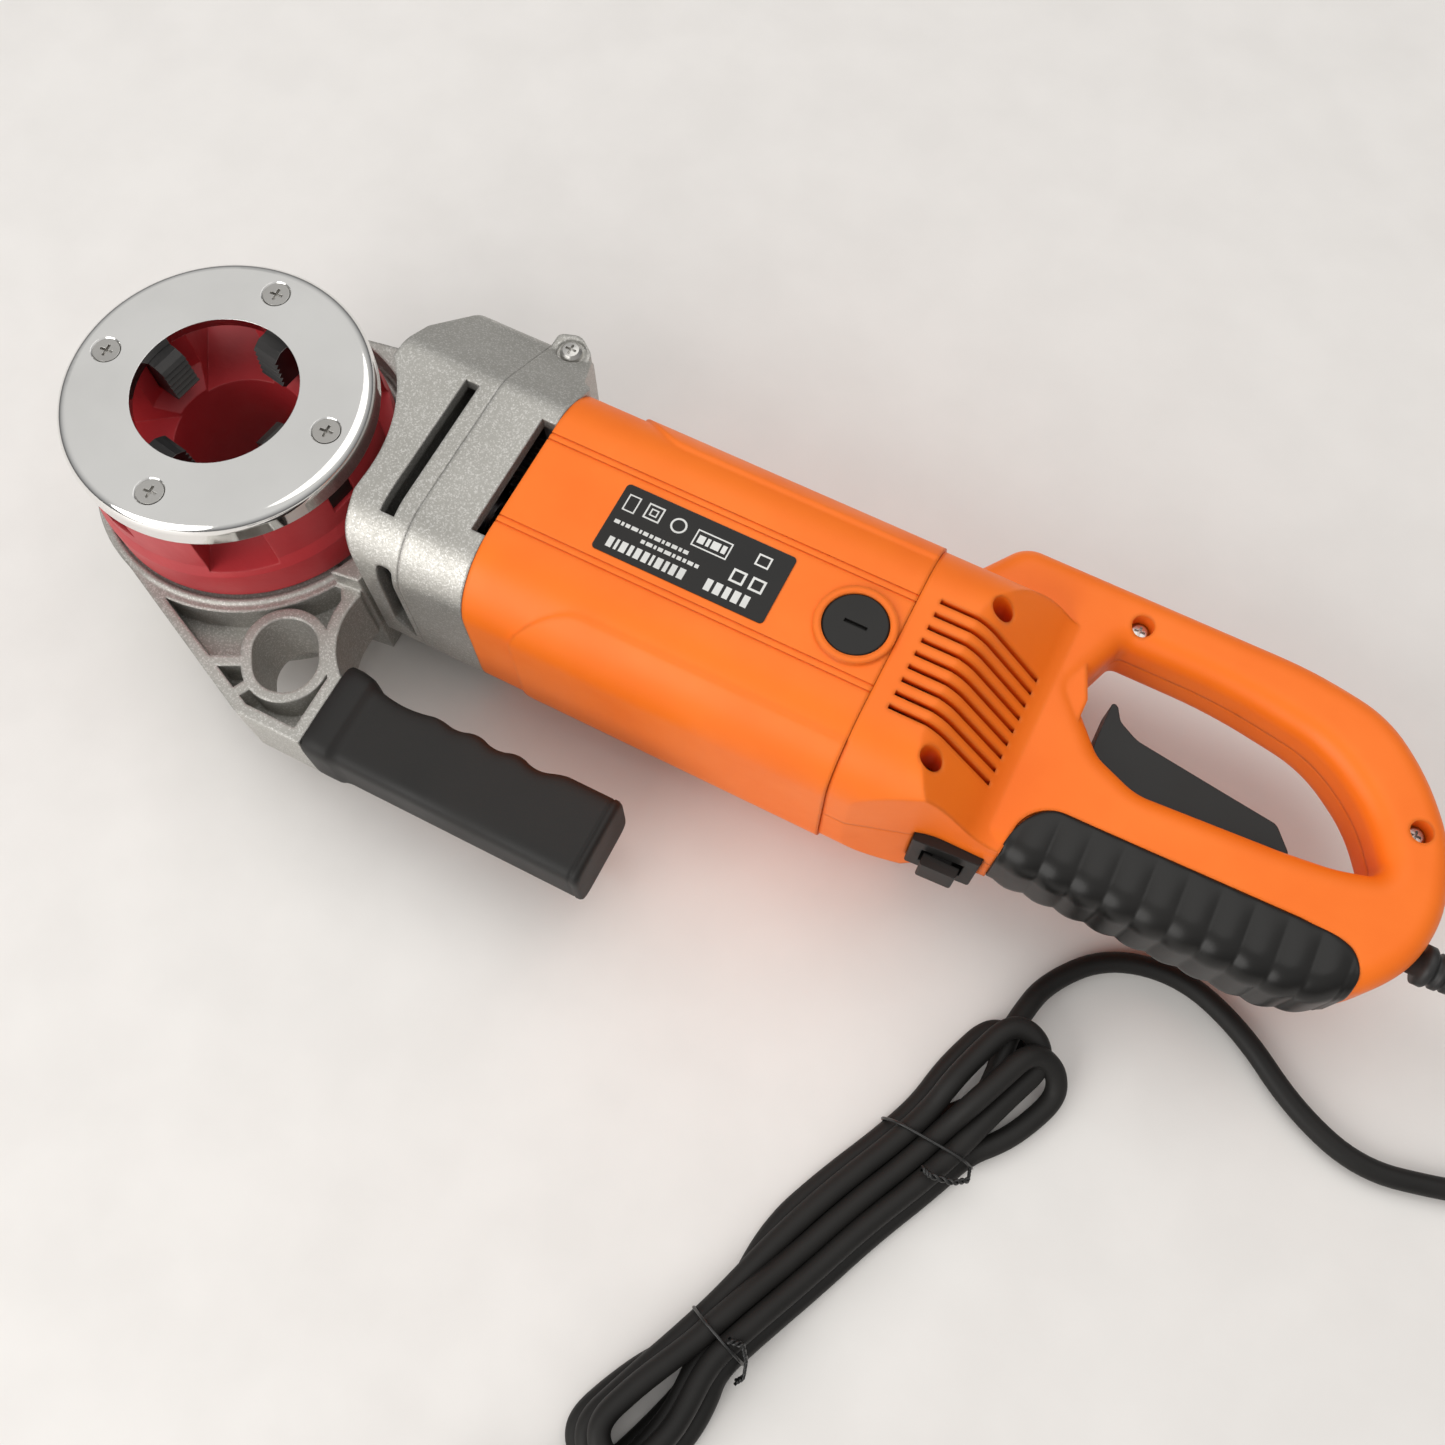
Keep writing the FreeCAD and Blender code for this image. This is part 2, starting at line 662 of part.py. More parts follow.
def shell_section(inset):
    """(y, z) section of the motor housing, a rounded box."""
    half_width = amount("shell_width") / 2 - inset
    half_height = amount("shell_height") / 2 - inset
    corner = amount("shell_corner") - inset
    return [(MOTOR_Y + side * half_width, MOTOR_Z + end * half_height, corner)
            for side, end in ((-1, -1), (1, -1), (1, 1), (-1, 1))]


ARM_HOLE = (52.5, -61)
ARM_HOLE_TURN = -55
FINGER_ARC = (92, -36)
FINGER_RADIUS = 29


def obround(name, centre, radius, straight, turn, bottom, height):
    """A slot-ended upright prism, long along the direction turn."""
    ends = radius + straight / 2
    body = prism(name, [(-ends, -radius, radius - 0.01), (ends, -radius, radius - 0.01),
                        (ends, radius, radius - 0.01), (-ends, radius, radius - 0.01)], bottom, height)
    body.Placement = Placement(Vector(centre[0], centre[1], amount(bottom)), Rotation(Vector(0, 0, 1), turn))
    return body


def flange():
    """The ribbed flange beside the ring, with the boss for the support arm and the finger gap."""
    plate = prism("flange_plate", [
        (-26, -53), (49, -87, 5), ("grip_front - 0.2", -87), ("grip_front - 0.2", -53), (62, -26), (0, -10)],
        "flange_bottom", "flange_top - flange_bottom")
    inner = prism("flange_inner", [
        (-17, -53.5, 1), (50.5, -82.8, 3), (70.5, -82.8, 1), (70.5, -53, 1), (56, -30, 1), (0, -30)],
        "flange_bottom - 1", 40)
    web = prism("flange_web", [
        (-26, -51), (49, -85), (73, -85), (73, -55), (62, -28), (0, -10)], 30, 5)
    ring_keep = rod("flange_ring_keep", 61.5, 60, 0, 0, 0)
    boss = obround("flange_boss", ARM_HOLE, 15.6, 5, ARM_HOLE_TURN,
                   "flange_bottom", "flange_top - flange_bottom")
    gap_rim = rod("flange_gap_rim", FINGER_RADIUS + 4.5, 60, FINGER_ARC[0], FINGER_ARC[1], 0)
    ribs = []
    for index, turn in enumerate((207, 243)):
        rib = block(f"flange_rib_{index}", (0, -2, "flange_bottom"), (34, 2, "flange_top"))
        rib.Placement = Placement(Vector(ARM_HOLE[0], ARM_HOLE[1], amount("flange_bottom")),
                                  Rotation(Vector(0, 0, 1), turn))
        ribs.append(rib)
    pockets = cut("flange_pockets", inner, [ring_keep, boss, gap_rim, web] + ribs)
    outer = cut("flange_open", plate, [pockets])
    tang = block("grip_tang", (70, -79, 25.5), (166, -62, 41.5))
    whole = fuse("flange_whole", [outer, boss, tang])
    return cut("flange_cut", whole, [
        rod("finger_gap", FINGER_RADIUS, 60, FINGER_ARC[0], FINGER_ARC[1], 0),
        obround("arm_hole", ARM_HOLE, 11.75, 5, ARM_HOLE_TURN, "flange_bottom - 1", 40)])


def gear_housing():
    """The main aluminium casting: ring, neck, front of the casing, flange and the tang of the front grip."""
    section = bar("casing_bar", casing_section(0), 44, "casing_joint - 44.1")
    plan = prism("casing_plan", [
        (84, -29), (63, -29, 12), (58, 8), (44, 38), (45, 62, 6), (55, 84, 9), (84, 84)], 0, 95)
    casing = cut("casing_front", common("casing_block", [section, plan]), [
        rod("die_head_room", 61, 60, 0, 0, "ring_height")])
    ring = rod("ring_wall", "ring_outer", "ring_height")
    lip = doc.addObject("Part::Torus", "ring_lip")
    lip.Radius1 = 57.3
    lip.Radius2 = 2
    put(lip, 0, 0, "ring_height - 0.3")
    neck_block = prism("neck_block", [(0, -35), (64, -27.4), (64, 66), (40, 66, 8), (8, 60.5)], 0, "neck_top")
    neck = cut("neck", neck_block, [rod("neck_head_room", 60.5, 30, 0, 0, "ring_height")])
    outer = fuse("gear_housing_outer", [ring, lip, neck, casing, flange()])
    inside = bar("casing_hollow", casing_section(5), 68, 30)
    cavities = [
        inside,
        rod("cover_seat", 56, 5, 0, 0, 0), rod("ring_gear_room", 52.6, 29, 0, 0, 4),
        rod("hub_room", 44.6, 60, 0, 0, 4), rod("bush_seat", "bush_narrow", 14, 0, 0, 32),
        rod("pinion_room", 17, 28, PINION_X, MOTOR_Y, 12.2),
        rod("lower_bearing_seat", 9.4, 6, PINION_X, MOTOR_Y, 6.3),
        rod("bush_seat_above", 6.5, 6, PINION_X, MOTOR_Y, 39.6),
        rod("bevel_room", 13.6, 20, PINION_X + 8.1, MOTOR_Y, MOTOR_Z, "x"),
        block("front_slot", (72, -12, 78), (77.5, 45, 95)),
    ]
    side_slot = side_slab("side_slot", [(74, 36), (81.5, 27), (81.5, 76, 2), (75.5, 76, 2)], -32, 11)
    tappings = [rod(f"cover_tapping_{index}", 1.55, 8.5, place.Base.x, place.Base.y, 4)
                for index, place in enumerate(around(COVER_SCREW_CIRCLE, 6, COVER_SCREW_TURN))]
    keep(cut("gear_housing", outer, cavities + tappings + [side_slot]))


def bearing_plates():
    """Two aluminium plates across the casings, which hold the gear shafts' and the armature's bearings."""
    def plate(name, x, width, near_edge, far_edge, bores, windows, notches=()):
        blank = common(name + "_blank", [
            bar(name + "_bar", casing_section(5.3), x, width),
            block(name + "_width", (x - 1, near_edge, -10), (x + 9, far_edge, 100))])
        tools = [rod(f"{name}_bore_{index}", radius, 20, x - 5, y, MOTOR_Z, "x")
                 for index, (y, radius) in enumerate(bores)]
        tools += [rod(f"{name}_window_{index}", radius, 20, x - 5, y, z, "x")
                  for index, (y, z, radius) in enumerate(windows)]
        keep(cut(name, blank, tools + list(notches)))

    plate("front_bearing_plate", 76.1, 7.2, -6, 90, [(MOTOR_Y, 11.05), (LAYSHAFT_Y, 9.45)],
          [(8, 74, 5), (8, 18, 5)])
    plate("rear_bearing_plate", 102.5, 6, -60, 60.7, [(MOTOR_Y, 13.05), (LAYSHAFT_Y, 9.45)],
          [(-8, 46, 9), (20, 18, 8)], [block("air_notch", (101, -6, 70), (110, 44, 100))])


def fan_housing():
    """The intermediate aluminium casting between the gear casing and the motor, with its screw lug."""
    section = bar("fan_bar", casing_section(0), "casing_joint", "shell_front - casing_joint - 0.1")
    lug = prism("fan_lug", [(84, 60), (84, 86, 3), (92, 88.5, 5), (99, 83, 4), (104, 60)], 34, 40)
    plan = prism("fan_plan", [
        (84, -29), (109, -29), (109, 66, 3), (105, 68), (99, 84), (92, 89, 4), (84, 89)], 0, 95)
    outer = common("fan_outer", [fuse("fan_with_lug", [section, lug]), plan])
    inside = common("fan_hollow", [
        bar("fan_hollow_bar", casing_section(5), 83, 30),
        prism("fan_hollow_plan", [
            (83, -29), (110, -29), (110, 61), (103, 63), (100, 77.8), (83, 77.8)], 0, 95)])
    slot = block("air_slot", (103.5, -5, 80), (110, 43, 95))
    face = rod("lug_face", 5.6, 30, 92, 80.5, 73.2)
    tapping = rod("lug_tapping", 2.05, 20, 92, 80.5, 60)
    keep(cut("fan_housing", outer, [inside, slot, face, tapping]))
    screw = new_body("lug_screw")
    revolve(screw, [(0, -12), (2, -12), (2, 0), (4.1, 0), (4.1, 1.5), (3, 2.7), (0, 3)])
    cross_recess(screw, 3, 2.1, 0.45, 1.4)
    put(screw, 92, 80.5, 73.25)
    keep(screw)


# ---------------------------------------------------------------- motor

def armature():
    """Shaft with its pinion, laminated core with windings, commutator and fan."""
    keep(shafts_along_x("armature_shaft", [
        (93.9, 0), (93.9, 3.9), (102.6, 3.9), (102.6, 5), (112, 5), (112, 6),
        (244, 6), (244, 5), (254, 5), (254, 0)],
        [(armature_pinion(), 94)], MOTOR_Y))
    winding = [(126, 6.1), (126, 17), (130, 23), (136, 24.5), (136, "core_radius"), (204, "core_radius"),
               (204, 24.5), (210, 23), (214, 17), (214, 6.1)]
    core = turned_along_x("armature_core", winding)
    put(core, 0, "motor_y", "motor_z")
    keep(core)
    segments = turned_along_x("commutator", [
        (220, 6.1), (220, 20), (223, 20), (223, 17), (243, 17), (243, 6.1)])
    put(segments, 0, "motor_y", "motor_z")
    keep(segments)
    disc = turned_along_x("fan_disc", [(113, 6.1), (113, 35), (114.4, 35), (114.4, 12), (121, 9), (121, 6.1)])
    blades = [disc]
    for index in range(14):
        blade = block(f"fan_blade_{index}", (114, 13, -0.6), (121, 35, 0.6))
        turn = Rotation(Vector(1, 0, 0), 360 * index / 14)
        blade.Placement = Placement(turn.multVec(Vector(114, 13, -0.6)), turn)
        blades.append(blade)
    fan = fuse("fan", blades)
    put(fan, 0, "motor_y", "motor_z")
    keep(fan)


def stator():
    """Laminated field core with two poles, and its two coils."""
    ring = turned_along_x("stator_ring", [(134, 33), (134, "stator_radius"), (206, "stator_radius"), (206, 33)])
    poles = turned_along_x("stator_poles", [
        (134, "core_radius + 0.6"), (134, 33.5), (206, 33.5), (206, "core_radius + 0.6")])
    pole_room = [block("pole_room_top", (130, -25, 18), (210, 25, 45)),
                 block("pole_room_low", (130, -25, -45), (210, 25, -18))]
    core = fuse("stator", [ring, cut("pole_shoes", poles, pole_room)])
    put(core, 0, "motor_y", "motor_z")
    keep(core)
    loops = turned_along_x("coil_loop", [(127.5, 28.5), (127.5, 38), (133.7, 38), (133.7, 28.5)])
    far_loop = turned_along_x("coil_loop_far", [(206.3, 28.5), (206.3, 38), (212.5, 38), (212.5, 28.5)])
    coil_tube = turned_along_x("coil_tube", [(133.5, 28.2), (133.5, 32.7), (206.5, 32.7), (206.5, 28.2)])
    sides = common("coil_sides", [coil_tube, block("coil_reach", (130, -17, -45), (210, 17, 45))])
    coils = fuse("field_coils", [loops, far_loop, sides])
    put(coils, 0, "motor_y", "motor_z")
    keep(coils)


GROOVE_WIDTH = 0.7
GROOVE_DEPTH = 0.45


def motor_housing():
    """The orange plastic tube round the motor, with grooves, side panels and the brush cap rings."""
    length = "shell_back - shell_front - 0.1"
    shell = bar("shell_bar", shell_section(0), "shell_front", length)
    hollow = bar("shell_hollow", shell_section(amount("shell_wall")), "shell_front - 1", 150)
    top = MOTOR_Z + amount("shell_height") / 2
    bottom = MOTOR_Z - amount("shell_height") / 2
    rings = [rod("cap_ring_top", 13.8, 6, "brush_x", "motor_y", top - 4.6),
             rod("cap_ring_bottom", 13.8, 6, "brush_x", "motor_y", 0)]
    panel_skin = bar("panel_skin", shell_section(-1.1), "shell_front", length)
    panels = []
    for name, start in (("near_panel", -30), ("far_panel", MOTOR_Y + 31)):
        panels.append(side_slab(name, [
            (127, 5, 25), (127, 87, 25), ("shell_back - 0.1", 87), ("shell_back - 0.1", 5)], start, 20))
    skin = common("panels", [panel_skin, fuse("panel_slabs", panels)])
    grooves = []
    for line, y in enumerate((MOTOR_Y - 19, MOTOR_Y - 16.5, MOTOR_Y + 16.5, MOTOR_Y + 19)):
        grooves.append(block(f"groove_{line}", ("shell_front - 1", y - GROOVE_WIDTH / 2, top - GROOVE_DEPTH),
                             ("shell_back + 1", y + GROOVE_WIDTH / 2, top + 1)))
    bores = [rod("cap_bore_top", "cap_radius", 20, "brush_x", "motor_y", top - 7),
             rod("cap_bore_bottom", "cap_radius", 20, "brush_x", "motor_y", bottom - 13)]
    blank = cut("shell_walls", fuse("shell_outer", [shell, skin] + rings), [hollow])
    seats = [rod(f"cap_seat_{index}", 14, 3, "brush_x", "motor_y", z)
             for index, z in enumerate((top - 6.4, bottom + 3.4))]
    keep(cut("motor_housing", fuse("shell_with_seats", [blank] + seats), grooves + bores))


def coil_spring(radius, wire_radius, pitch, height):
    """A coil spring standing on z = 0."""
    helix = Part.Wire(Part.makeHelix(pitch, height, radius).Edges)
    slope = pitch / (2 * math.pi * radius)
    section = Part.Wire(Part.makeCircle(wire_radius, Vector(radius, 0, 0), Vector(0, 1, slope)))
    return helix.makePipeShell([section], True, True)


def brush_gear():
    """Brass holders with carbon brushes and springs above and below the commutator, and their caps."""
    holder = doc.addObject("Part::Box", "holder_blank")
    holder.Length = 12
    holder.Width = 10
    holder.Height = 15.5
    put(holder, -6, -5, 19)
    opening = doc.addObject("Part::Box", "holder_opening")
    opening.Length = 8.2
    opening.Width = 6.2
    opening.Height = 20
    put(opening, -4.1, -3.1, 18)
    holder_shape = cut("brush_holder", holder, [opening])
    brush = block("carbon_brush", (-4, -3, 17.1), (4, 3, 27))
    spring = feature("brush_spring", coil_spring(2.2, 0.35, 1.5, 7.5),
                     Placement(Vector(0, 0, 27.5), Rotation()))
    doc.recompute()
    over = Rotation(Vector(1, 0, 0), 180)
    spots = [Placement(Vector(amount("brush_x"), MOTOR_Y, MOTOR_Z), turn) for turn in (Rotation(), over)]
    keep(copies("brush_holders", holder_shape, spots))
    keep(copies("carbon_brushes", brush, spots))
    keep(copies("brush_springs", spring, spots))
    cap = new_body("brush_cap")
    revolve(cap, [(0, 39), (7, 39), (7, 36), (8.6, 36), (8.6, 39.2), ("cap_radius - 0.1", 39.2),
                  ("cap_radius - 0.1", 44.6), ("cap_radius - 0.7", 45.2), (0, 45.2)])
    pocket(cap, draw(cap, "XY_Plane", [(-4, -0.65), (4, -0.65), (4, 0.65), (-4, 0.65)], 45.2), 1.6)
    doc.recompute()
    keep(copies("brush_cap_top", cap, spots[:1]))
    keep(copies("brush_cap_bottom", cap, spots[1:]))


def bearing_bridge():
    """The plastic bridge at the back of the motor that carries the rear bearing."""
    blank = bar("bridge_blank", shell_section(4.2), "shell_back + 0.3", 7.6)
    bores = [rod("bridge_bore", 13.05, 20, 240, MOTOR_Y, MOTOR_Z, "x")]
    for index, (across, up) in enumerate(((26, 0), (0, 26), (-26, 0), (0, -26))):
        bores.append(rod(f"bridge_window_{index}", 10, 20, 240, MOTOR_Y + across, MOTOR_Z + up, "x"))
    keep(cut("bearing_bridge", blank, bores))


def motor_screws():
    """Four long screws through the motor housing's corners."""
    screw = turned_along_x("motor_screw", [(214, 0), (214, 2), (243, 2), (243, 3.6), (246.2, 3.6), (246.2, 0)])
    doc.recompute()
    corners = [Placement(Vector(0, MOTOR_Y + side * 33, MOTOR_Z + end * 30), Rotation())
               for side in (-1, 1) for end in (-1, 1)]
    keep(copies("motor_screws", screw, corners))


def rating_label():
    """The thin label on top of the motor housing."""
    keep(prism("rating_label", [(142, 7.2, 1.5), (205, 7.2, 1.5), (205, 33.8, 1.5), (142, 33.8, 1.5)],
               "motor_z + 44.02", 0.35))


# ---------------------------------------------------------------- rear handle

def bulb(name, inset):
    """The back of the motor tube, sloping down to the thin handle on both sides."""
    section = bar(name + "_bar", shell_section(inset), 246.1, 64 - inset)
    high = 91 - inset
    low = 1 + inset
    slope = side_slab(name + "_slope", [
        (246, low), (268 - inset / 2, low, 18), (297 - inset, 31.5 + inset, 16), (312 - inset, 31.5 + inset),
        (312 - inset, 60.5 - inset), (297 - inset, 60.5 - inset, 16), (268 - inset / 2, high, 18), (246, high)],
        -60, 200)
    plan = prism(name + "_plan", [
        (246, -30 + inset), (256, -27 + inset, 20), (282, -19 + inset, 30), (312 - inset, -18.2 + inset),
        (312 - inset, 40), (300 - inset, 69.5 - inset, 12), (246, 69.5 - inset)], -5, 110)
    return common(name, [section, slope, plan])


def handle_plate():
    """The D-shaped handle with its hand opening."""
    body = prism("handle_plate", [
        (254, -19), (405, -18.5, 40), (424, -9, 42), (437, 8, 42), (441, 28, 46), (436, 52, 55), (422, 72, 80),
        (404, 87, 42), (376, 92, 150), (269, 92, 12), (254, 71, 5)],
        "handle_bottom", "handle_top - handle_bottom")
    hole = draw(body, "XY_Plane", [
        (305, 47, 3), (314, 71, 4), (352, 71, 180), (388, 65, 46), (408, 50, 54), (419.5, 32, 4), (404, 27.5, 60),
        (386, 25.5, 80), (337, 22.5, 20), (321, 29, 12)], "handle_top - handle_bottom")
    pocket(body, hole, 40)
    doc.recompute()
    flat = [f"Face{index + 1}" for index, face in enumerate(body.Shape.Faces)
            if face.BoundBox.ZLength < 0.01]
    round_off(body, flat, 8)
    return body


PANEL = [(304, -21), (306.5, 3.2, 14), (330, 3.5, 30), (398, 5, 14), (416.5, 3.5, 7), (421, -6, 6), (409, -21)]
SCREW_WELLS = ((317, 78.5), (424, 50), (272, 49.5), (272, -8.5))
VENTS = 9
VENT_PITCH = 5.1
VENT_WIDTH = 1.8


def panel_core(name, gap):
    """The handle inside the rubber panel: the panel wraps round its near side and both faces."""
    return block(name, (290, -15 - gap, 33 - gap), (440, 60, 59 + gap))


def rubber_grip_panel():
    """Soft rubber panel wrapped round the near side of the rear grip."""
    body = prism("panel_blank", PANEL, "handle_bottom - 1", "handle_top - handle_bottom + 2")
    doc.recompute()
    outside = [f"Edge{index + 1}" for index, edge in enumerate(body.Shape.Edges)
               if edge.BoundBox.YLength < 0.01 and edge.BoundBox.ZLength < 0.01 and edge.BoundBox.YMax < -20.9]
    round_off(body, outside, 9)
    keep(cut("rubber_grip_panel", body, [panel_core("panel_core", 0)]))


def rear_handle():
    """Two moulded halves, joined at mid height by screws in deep wells."""
    outer = fuse("handle_outer", [bulb("bulb", 0), handle_plate()])
    posts = common("handle_posts", [outer, fuse("post_rods", [
        rod(f"post_{index}", 5.4, 95, x, y, 0) for index, (x, y) in enumerate(SCREW_WELLS[2:])])])
    panel_room = cut("panel_room", prism("panel_room_blank", PANEL, 20, 50), [
        panel_core("panel_room_core", -0.15)])
    hollows = [
        bulb("bulb_hollow", 3.2),
        block("grip_hollow", (318, -12, 34), (412, 19, 58)),
        block("bar_hollow", (326, 75.5, 35), (372, 88, 57)),
        block("neck_hollow", (300, -12, 35), (330, 16, 57)),
        block("trigger_slot", (316, 10, 38.4), (390, 34, 53.6)),
        block("switch_window", (276.7, -30, 23.7), (301.3, -7.7, 49.3)),
        rod("trigger_pin_seats", 2.03, 18.4, "trigger_x", "trigger_y", 36.8),
        rod("gland_hole", 5.3, 40, 408, 14, 45.8, "x"),
        panel_room,
    ]
    for index in range(VENTS):
        y = MOTOR_Y + VENT_PITCH * (index - (VENTS - 1) / 2)
        hollows.append(block(f"vent_{index}", (253, y - VENT_WIDTH / 2, 52), (292, y + VENT_WIDTH / 2, 95)))
    wells = []
    for index, (x, y) in enumerate(SCREW_WELLS):
        seat = 54 if index < 2 else 66
        wells.append(rod(f"well_{index}", 3.9, 40, x, y, seat))
        wells.append(rod(f"well_hole_{index}", 2.1, 70, x, y, 36))
    walls = fuse("handle_walls", [cut("handle_shell", outer, hollows), posts])
    top_room = block("top_room", (240, -60, 46.05), (460, 120, 120))
    low_room = block("low_room", (240, -60, -20), (460, 120, 45.95))
    keep(cut("rear_handle_top", common("handle_top_shell", [walls, top_room]), wells))
    keep(cut("rear_handle_bottom", common("handle_low_shell", [walls, low_room]), [
        rod(f"low_hole_{index}", 1.85, 14, x, y, 36) for index, (x, y) in enumerate(SCREW_WELLS)]))


def handle_screws():
    """Pan-head screws at the bottom of the wells."""
    screw = turned("handle_screw", [
        (0, -15.5), (1.8, -15.5), (1.8, 0), (3.6, 0), (3.6, 1.6), (2.6, 2.6), (0, 2.8)])
    cross_recess(screw, 2.8, 1.9, 0.4, 1.3)
    doc.recompute()
    places = [Placement(Vector(x, y, 54.05 if index < 2 else 66.05), Rotation())
              for index, (x, y) in enumerate(SCREW_WELLS)]
    keep(copies("handle_screws", screw, places))


def trigger():
    """Paddle trigger with a guard horn, on a pin at its back end, with a torsion spring."""
    body = prism("trigger_blank", [
        (318.6, 52, 1), (321, 50.5, 1), (323.5, 46, 5), (331, 42, 12), (364, 37.5), (383, 35, 4), (390, 27, 4),
        (389, 18, 3), (380, 15), (340, 14, 3), (326, 18, 4), (318.5, 32, 14)], 39.2, 13.6)
    spring_room = rod("spring_room", 4.6, 7, "trigger_x", "trigger_y", 42.5)
    relief = block("spring_relief", (362, 10, 42.5), (384, 19.5, 49.5))
    pin_hole = rod("trigger_pin_hole", 2.05, 30, "trigger_x", "trigger_y", 30)
    keep(cut("trigger", body, [spring_room, relief, pin_hole]))
    keep(rod("trigger_pin", 2, 18, "trigger_x", "trigger_y", 37))
    place = Placement(Vector(amount("trigger_x"), amount("trigger_y"), 43.7), Rotation())
    keep(feature("trigger_spring", coil_spring(3.2, 0.45, 1.5, 4.5), place))


def switches():
    """The trigger's switch block, and the direction switch in the near side of the handle."""
    box = block("switch_box", (332, -11, 36), (376, 3.5, 56))
    plunger = rod("switch_plunger", 3, 6, 350, 3.4, 46, "y")
    keep(fuse("switch_body", [box, plunger]))
    plate = prism("direction_plate_blank", [(277, -23.2, 1), (301, -21.6, 1), (301, -17.6), (277, -18.4)], 24, 25)
    well = block("direction_well", (281.5, -30, 30.5), (296.5, -15, 42.5))
    body = block("direction_body", (279, -18, 27), (299, -8, 46))
    inner = block("direction_body_hollow", (281.5, -19, 30.5), (296.5, -11, 42.5))
    keep(cut("direction_switch_plate", fuse("direction_frame", [plate, body]), [well, inner]))
    stem = block("direction_stem", (285.6, -24, 31), (292.4, -12, 42))
    button = prism("direction_button", [
        (282.5, -28, 1), (295.5, -27.4, 1), (295.5, -23.6), (282.5, -23.6)], 30, 13)
    keep(fuse("direction_slider", [stem, button]))


def internal_leads():
    """Two leads from the switch to the brush holders."""
    def lead(points):
        return tube(points, 0.9)
    upper = lead([(331, -4, 42), (312, -4, 42), (292, 4, 44), (272, 14, 58), (257, 20, 72), (240, 20, 73)])
    lower = lead([(331, 2, 40), (312, 2, 40), (292, 6, 38), (272, 14, 30), (257, 20, 20), (240, 20, 19)])
    keep(feature("internal_leads", Part.makeCompound([upper, lower])))


# ---------------------------------------------------------------- front grip

def front_grip():
    """Moulded rubber grip with finger grooves, pushed over the casting's tang."""
    y_low = amount("grip_y") - amount("grip_width") / 2
    y_high = amount("grip_y") + amount("grip_width") / 2
    start = amount("grip_front")
    end = start + amount("grip_length")
    body = prism("grip_blank", [
        (start, y_low, 1.5), (end, y_low + 1, 4), (end, y_high - 1, 4), (start, y_high, 1.5)],
        "grip_top - grip_height", "grip_height")
    doc.recompute()
    flat = [f"Face{index + 1}" for index, face in enumerate(body.Shape.Faces) if face.BoundBox.ZLength < 0.01]
    round_off(body, flat, 4)
    grooves = [rod("groove_long", 42, 60, 99, y_high + 38.6, 0)]
    for index in range(3):
        grooves.append(rod(f"finger_groove_{index}", 13, 60, 119 + 16.5 * index, y_high + 10.2, 0))
    tang_room = block("tang_room", (60, -79.1, 25.4), (166.3, -61.9, 41.6))
    keep(cut("front_grip", body, grooves + [tang_room]))


# ---------------------------------------------------------------- cord

def tube(points, radius, report=False):
    """A round tube along straight runs joined by tangent arcs."""
    corners = [Vector(*point) for point in points]
    edges = []
    start = corners[0]
    radii = []
    for before, corner, after in zip(corners, corners[1:], corners[2:]):
        back = before - corner
        ahead = after - corner
        shorter = min(back.Length, ahead.Length)
        reach = 0.45 * shorter
        turn = math.pi - back.getAngle(ahead)
        radii.append(reach / math.tan(turn / 2))
        back.normalize()
        ahead.normalize()
        arc_start = corner + back * reach
        arc_end = corner + ahead * reach
        bisector = (back + ahead).normalize()
        middle = corner + bisector * (radii[-1] / math.cos(turn / 2) - radii[-1])
        edges.append(Part.LineSegment(start, arc_start).toShape())
        edges.append(Part.Arc(arc_start, middle, arc_end).toShape())
        start = arc_end
    edges.append(Part.LineSegment(start, corners[-1]).toShape())
    wire = Part.Wire(edges)
    direction = corners[1] - corners[0]
    solid = wire.makePipe(Part.Face(Part.Wire(Part.makeCircle(radius, corners[0], direction))))
    if report:
        expected = math.pi * radius ** 2 * wire.Length
        print("cord radii", [round(value, 1) for value in radii], "length", round(wire.Length, 1),
              "volume ratio", round(solid.Volume / expected, 4))
    return solid


# The uncoiled stretch, from inside the gland to the top of the hank. scene.py repeats these points.
CORD_ROUTE = [
    (443, 14, 45.8), (470, 14, 45.8), (494, 17, 34), (516, 18, 16), (538.6, 18, 3.9), (553.5, 3, 3.9),
    (553.5, -18, 3.9), (538.6, -33, 3.9), (511, -31, 3.9), (484, -40, 3.9), (458, -46, 3.9), (432, -37, 3.9),
    (408, -20, 3.9), (382, -11, 3.9), (356, -17, 3.9), (340, -36, 6), (335.7, -53, 10.5),
]
HANK_TOP = Vector(337, -73, 0)
HANK_HEIGHT = 20.5
HANK_TURN = -113
TIES = (34, 126)


def along_hank(thing):
    """Carries a piece that was drawn along +X from the origin to where the hank lies."""
    turn = Rotation(Vector(0, 0, 1), HANK_TURN)
    thing.Placement = Placement(HANK_TOP, turn).multiply(thing.Placement)
    return thing


